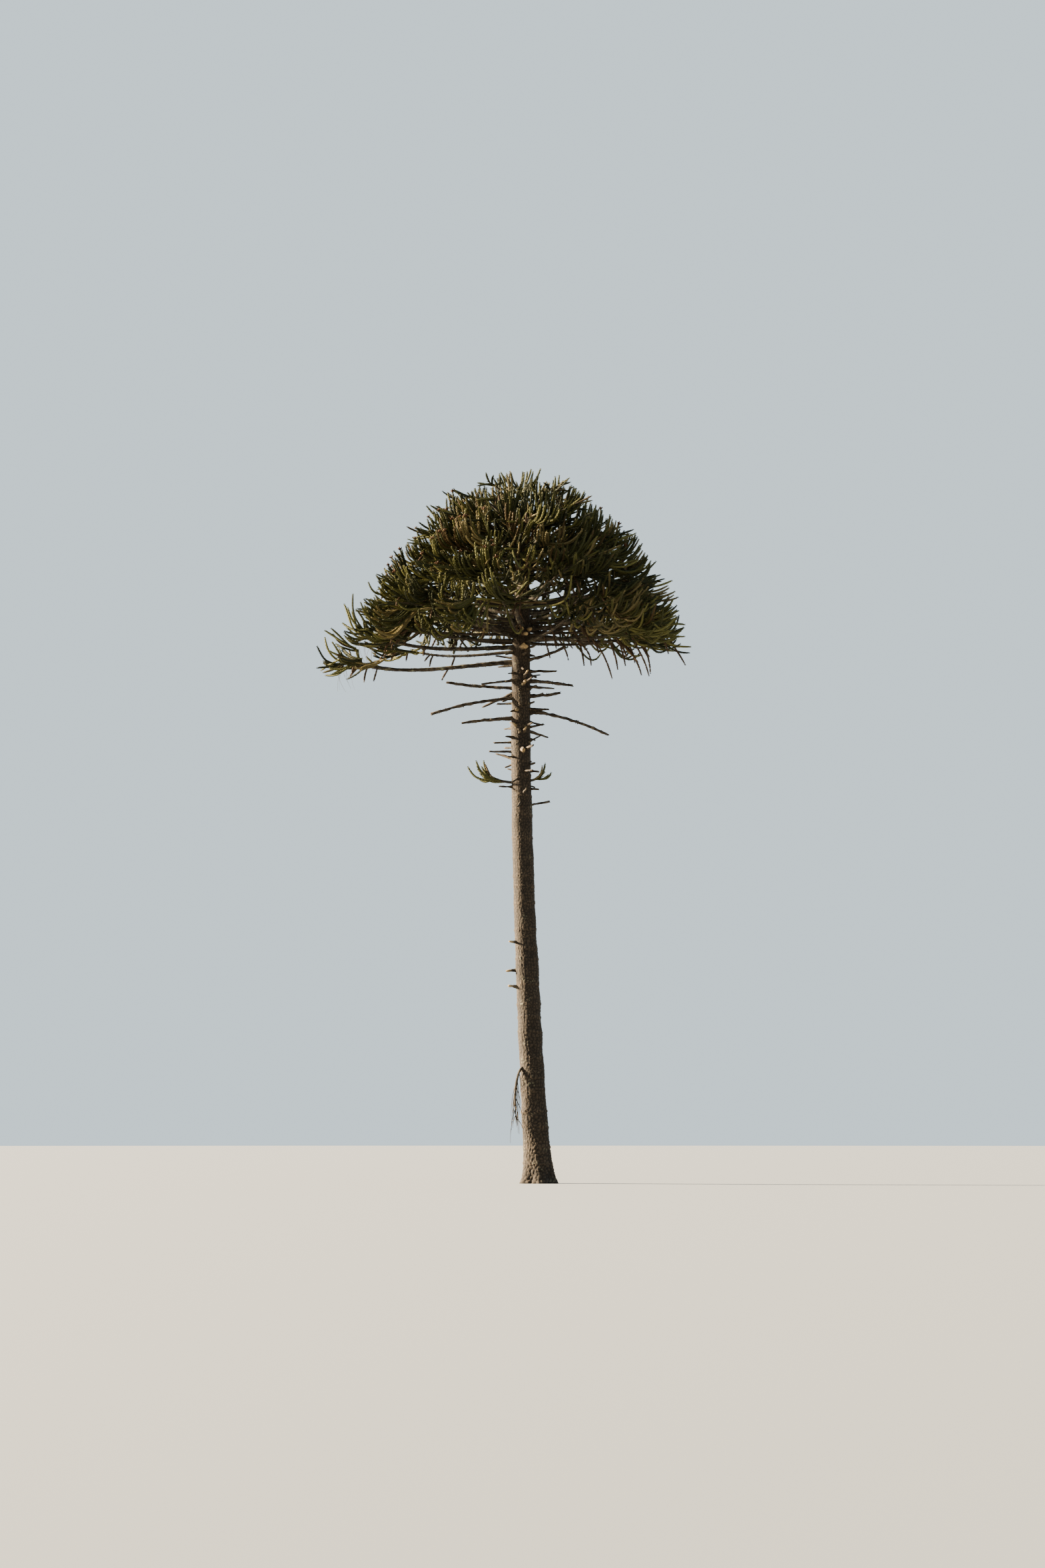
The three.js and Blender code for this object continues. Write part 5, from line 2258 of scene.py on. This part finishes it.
@dataclass
class Foliage:
    """The crown's shoots as leafy pieces, dealt out by tint."""

    crown: Crown
    effects: Effects
    trees: GrowTrees
    whorl_gap: float = 0.054
    dead_whorl_gap: float = 0.036
    step: float = 0.14
    triangles_in_metre: float = 245.0
    stray_tint: float = 0.35
    cone_share: float = 0.16
    cone_share_elsewhere: float = 0.015
    cones_from: float = 0.35
    cones_left_of: float = -1.6
    cones_outside: float = 0.85
    cone_size: Span = (0.8, 1.15)
    cone_sunk: float = 0.02
    cone_line: float = 0.05
    strands: int = 16
    strand_foot: Span = (0.0, 0.9)
    strand_lean: float = 0.9
    strand_away: Span = (0.2, 0.9)
    strand_length: Span = (0.45, 1.1)
    strand_radii: Sizes = (0.006, 0.005, 0.003)
    hair_step: float = 0.06

    def _strands(self) -> list[Strand]:
        """List the live shoots and the side twigs, which are leafy too.

        Returns:
            The strands.
        """
        strands = list(self.crown.shoots)
        for mass in self.crown.masses:
            strands.extend(
                Strand(curve, self.crown.twig_radii, self.crown.twig_leaves, spray)
                for spray, curve in enumerate(mass.twigs, mass.first_spray + 1)
            )
        return strands

    def _dealt(self, strands: Sequence[Strand]) -> dict[Tint, list[list[Strand]]]:
        """Deal the strands out by tint, in parts that stay under a piece's limit.

        Args:
            strands: All the leafy strands.

        Returns:
            The parts of each tint.
        """
        dealt: dict[Tint, list[list[Strand]]] = {tint: [[]] for tint in Tint}
        loads = {tint: 0.0 for tint in Tint}
        for index, strand in enumerate(strands):
            stray = chance(index, 62) < self.stray_tint
            tint = Tint.dealt(chance(index, 63) if stray else chance(strand.spray, 61))
            load = strand.curve.length * self.triangles_in_metre
            if loads[tint] + load > PIECE_LIMIT:
                dealt[tint].append([])
                loads[tint] = 0.0
            dealt[tint][-1].append(strand)
            loads[tint] += load
        return dealt

    def _values(self, finish: LeafFinish, whorl: Object) -> Values:
        """Set the growing tree's inputs for live shoots.

        Args:
            finish: Their finish.
            whorl: The leaf whorl.

        Returns:
            A value for each input by its name.
        """
        fixed = {"Core Sides": 4, "Core": True, "Turn": math.pi / 5, "Unevenness": 0.15, "Fullness": 1.0}
        material = finish.material(self.effects)
        return {"Finish": material, "Whorl": whorl, "Whorl Gap": self.whorl_gap, **fixed}

    def build(self) -> None:
        """Build and dress every leafy piece, the dead shoots, the cones and the strands."""
        whorl = LeafWhorl().to_object()
        nodes = self.crown.named_nodes()
        shoots = self.trees.shoots
        for seed, (tint, parts) in enumerate(self._dealt(self._strands()).items()):
            values = self._values(LeafFinish(f"leaves_{tint.label}", tint.colour), whorl)
            for number, part in enumerate(parts):
                values["Seed"] = seed * 10 + number
                name = f"foliage_{tint.label}_{number + 1}"
                grow_piece(name, "foliage", bare_lines(part, self.step), shoots, values, *nodes)
        sparse = {"Whorl Gap": self.dead_whorl_gap, "Fullness": 0.9, "Unevenness": 0.6, "Seed": 91}
        values = {**self._values(DEAD_SHOOT, whorl), **sparse}
        grow_piece("dead_shoots", "foliage", bare_lines(self.crown.dead_shoots, self.step), shoots, values)
        self._build_cones()
        values = {**self._values(STRANDS, whorl), "Fullness": 0.0, "Seed": 1}
        grow_piece("hanging_strands", "foliage", bare_lines(self._hair(), self.hair_step), shoots, values)
        bpy.data.objects.remove(whorl)

    def _build_cones(self) -> None:
        """Build the clusters of pollen cones, which stand thickest on the upper left of the crown."""
        habit = self.crown.habit
        tips = []
        for index, shoot in enumerate(self.crown.shoots):
            tip, heading = shoot.curve.at(1.0), shoot.curve.heading(1.0)
            height = float(tip[2])
            high = habit.dome_share(height) > self.cones_from
            from_axis = np.hypot(tip[0] - habit.crown_axis, tip[1])
            outer = from_axis > self.cones_outside * habit.dome_radius(height)
            share = self.cone_share if high and tip[0] < self.cones_left_of else self.cone_share_elsewhere
            if outer and high and chance(index, 64) < share:
                start = tip - heading * self.cone_sunk
                size = between(*self.cone_size, index, 65)
                tips.append(Strand(Curve(start, start + heading * self.cone_line), (0.01,), (size,)))
        cluster = ConeCluster().to_object()
        values = {"Finish": CONES.material(self.effects), "Cluster": cluster, "Seed": 7}
        grow_piece("cones", "foliage", bare_lines(tips, step=0.5), self.trees.clusters, values)
        bpy.data.objects.remove(cluster)

    def _hair(self) -> list[Strand]:
        """Hang the few fine strands from the two long boughs.

        Returns:
            The strands.
        """
        hair = []
        for index in range(self.strands):
            mass = self.crown.masses[index % 2]
            start = mass.stem.at(between(*self.strand_foot, index, 66))
            length = between(*self.strand_length, index, 67)
            aside = outward(mass.plan.azimuth + either_way(self.strand_lean, index, 68)) * length
            end = start + aside * between(*self.strand_away, index, 69) - UP * length
            hair.append(Strand(Curve(start, start + aside, end), self.strand_radii))
        return hair


@dataclass(frozen=True)
class Studio:
    """The pale floor, the soft light and the camera at the photo's viewing angle."""

    floor_radius: float = 320.0
    floor_sides: int = 64
    floor_drop: float = 0.002
    floor_colour: Colour = (0.185, 0.19, 0.195)
    floor_roughness: float = 0.9
    sky_colour: Colour = (0.64, 0.76, 0.82)
    sky_strength: float = 1.35
    key_strength: float = 74.0
    key_colour: Colour = (1.0, 0.82, 0.56)
    key_softness: float = 8.0
    key_rise: float = 15.0
    key_azimuth: float = 167.0
    lens: float = 70.0
    sensor: float = 36.0
    farthest: float = 2000.0
    camera_place: tuple[float, float, float] = (-0.536, -102.9, 1.658)
    camera_rise: float = 6.54

    def build(self) -> None:
        """Set up floor, light and camera."""
        self._build_floor()
        self._build_light()
        self._build_camera()

    def _build_floor(self) -> None:
        """Lay the staged floor."""
        rim = [out * self.floor_radius - UP * self.floor_drop for out, _ in directions(self.floor_sides)]
        floor = placed("floor", new_mesh("floor", rim, [tuple(range(len(rim)))]))
        material, nodes, shader = started_material("floor_pale", self.floor_colour)
        nodes.fill(shader, {"Roughness": self.floor_roughness})
        floor.data.materials.append(material)
        floor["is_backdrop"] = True

    def _build_light(self) -> None:
        """Hang a soft key light on the left and fill the rest from a pale sky."""
        sun = bpy.data.lights.new("key_light", "SUN")
        sun.energy = self.key_strength
        sun.color = self.key_colour
        sun.angle = math.radians(self.key_softness)
        tilt, turn = math.radians(90.0 - self.key_rise), math.radians(self.key_azimuth)
        placed("key_light", sun).rotation_euler = (0.0, tilt, turn)
        world = bpy.data.worlds.new("pale_sky")
        world.use_nodes = True
        background = world.node_tree.nodes["Background"]
        background.inputs["Color"].default_value = opaque(self.sky_colour)
        background.inputs["Strength"].default_value = self.sky_strength
        bpy.context.scene.world = world

    def _build_camera(self) -> None:
        """Stand the camera where the photo was taken from."""
        data = bpy.data.cameras.new("camera")
        data.lens = self.lens
        data.sensor_width = self.sensor
        data.clip_end = self.farthest
        camera = placed("camera", data)
        camera.location = self.camera_place
        camera.rotation_euler = (math.radians(90.0 + self.camera_rise), 0.0, 0.0)
        bpy.context.scene.camera = camera


def main() -> None:
    """Build the tree's sub-assemblies in order."""
    logging.basicConfig(level=logging.INFO, format="%(message)s", stream=sys.stdout)
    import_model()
    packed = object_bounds()
    Studio().build()
    habit = Habit()
    effects, trees = Effects(), GrowTrees()
    bark, limb_bark = LIVE_BARK.material(effects), LIMB_BARK.material(effects)
    wood = DEAD_WOOD.material(effects)
    spurs = SpurRing().to_object()
    dead = DeadLimbs(habit)
    Trunk(habit).build(bark, wood, dead.taken)
    dead.build(wood, trees, spurs)
    crown = Crown(habit)
    crown.grow()
    crown.build_boughs(limb_bark)
    crown.build_stems(limb_bark, trees, spurs)
    bpy.data.objects.remove(spurs)
    Foliage(crown, effects, trees).build()
    boxes = {"packed": packed, "shown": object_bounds()}
    json.dumps({name: [list(corner) for corner in box] for name, box in boxes.items()})


if __name__ == "__main__":
    main()
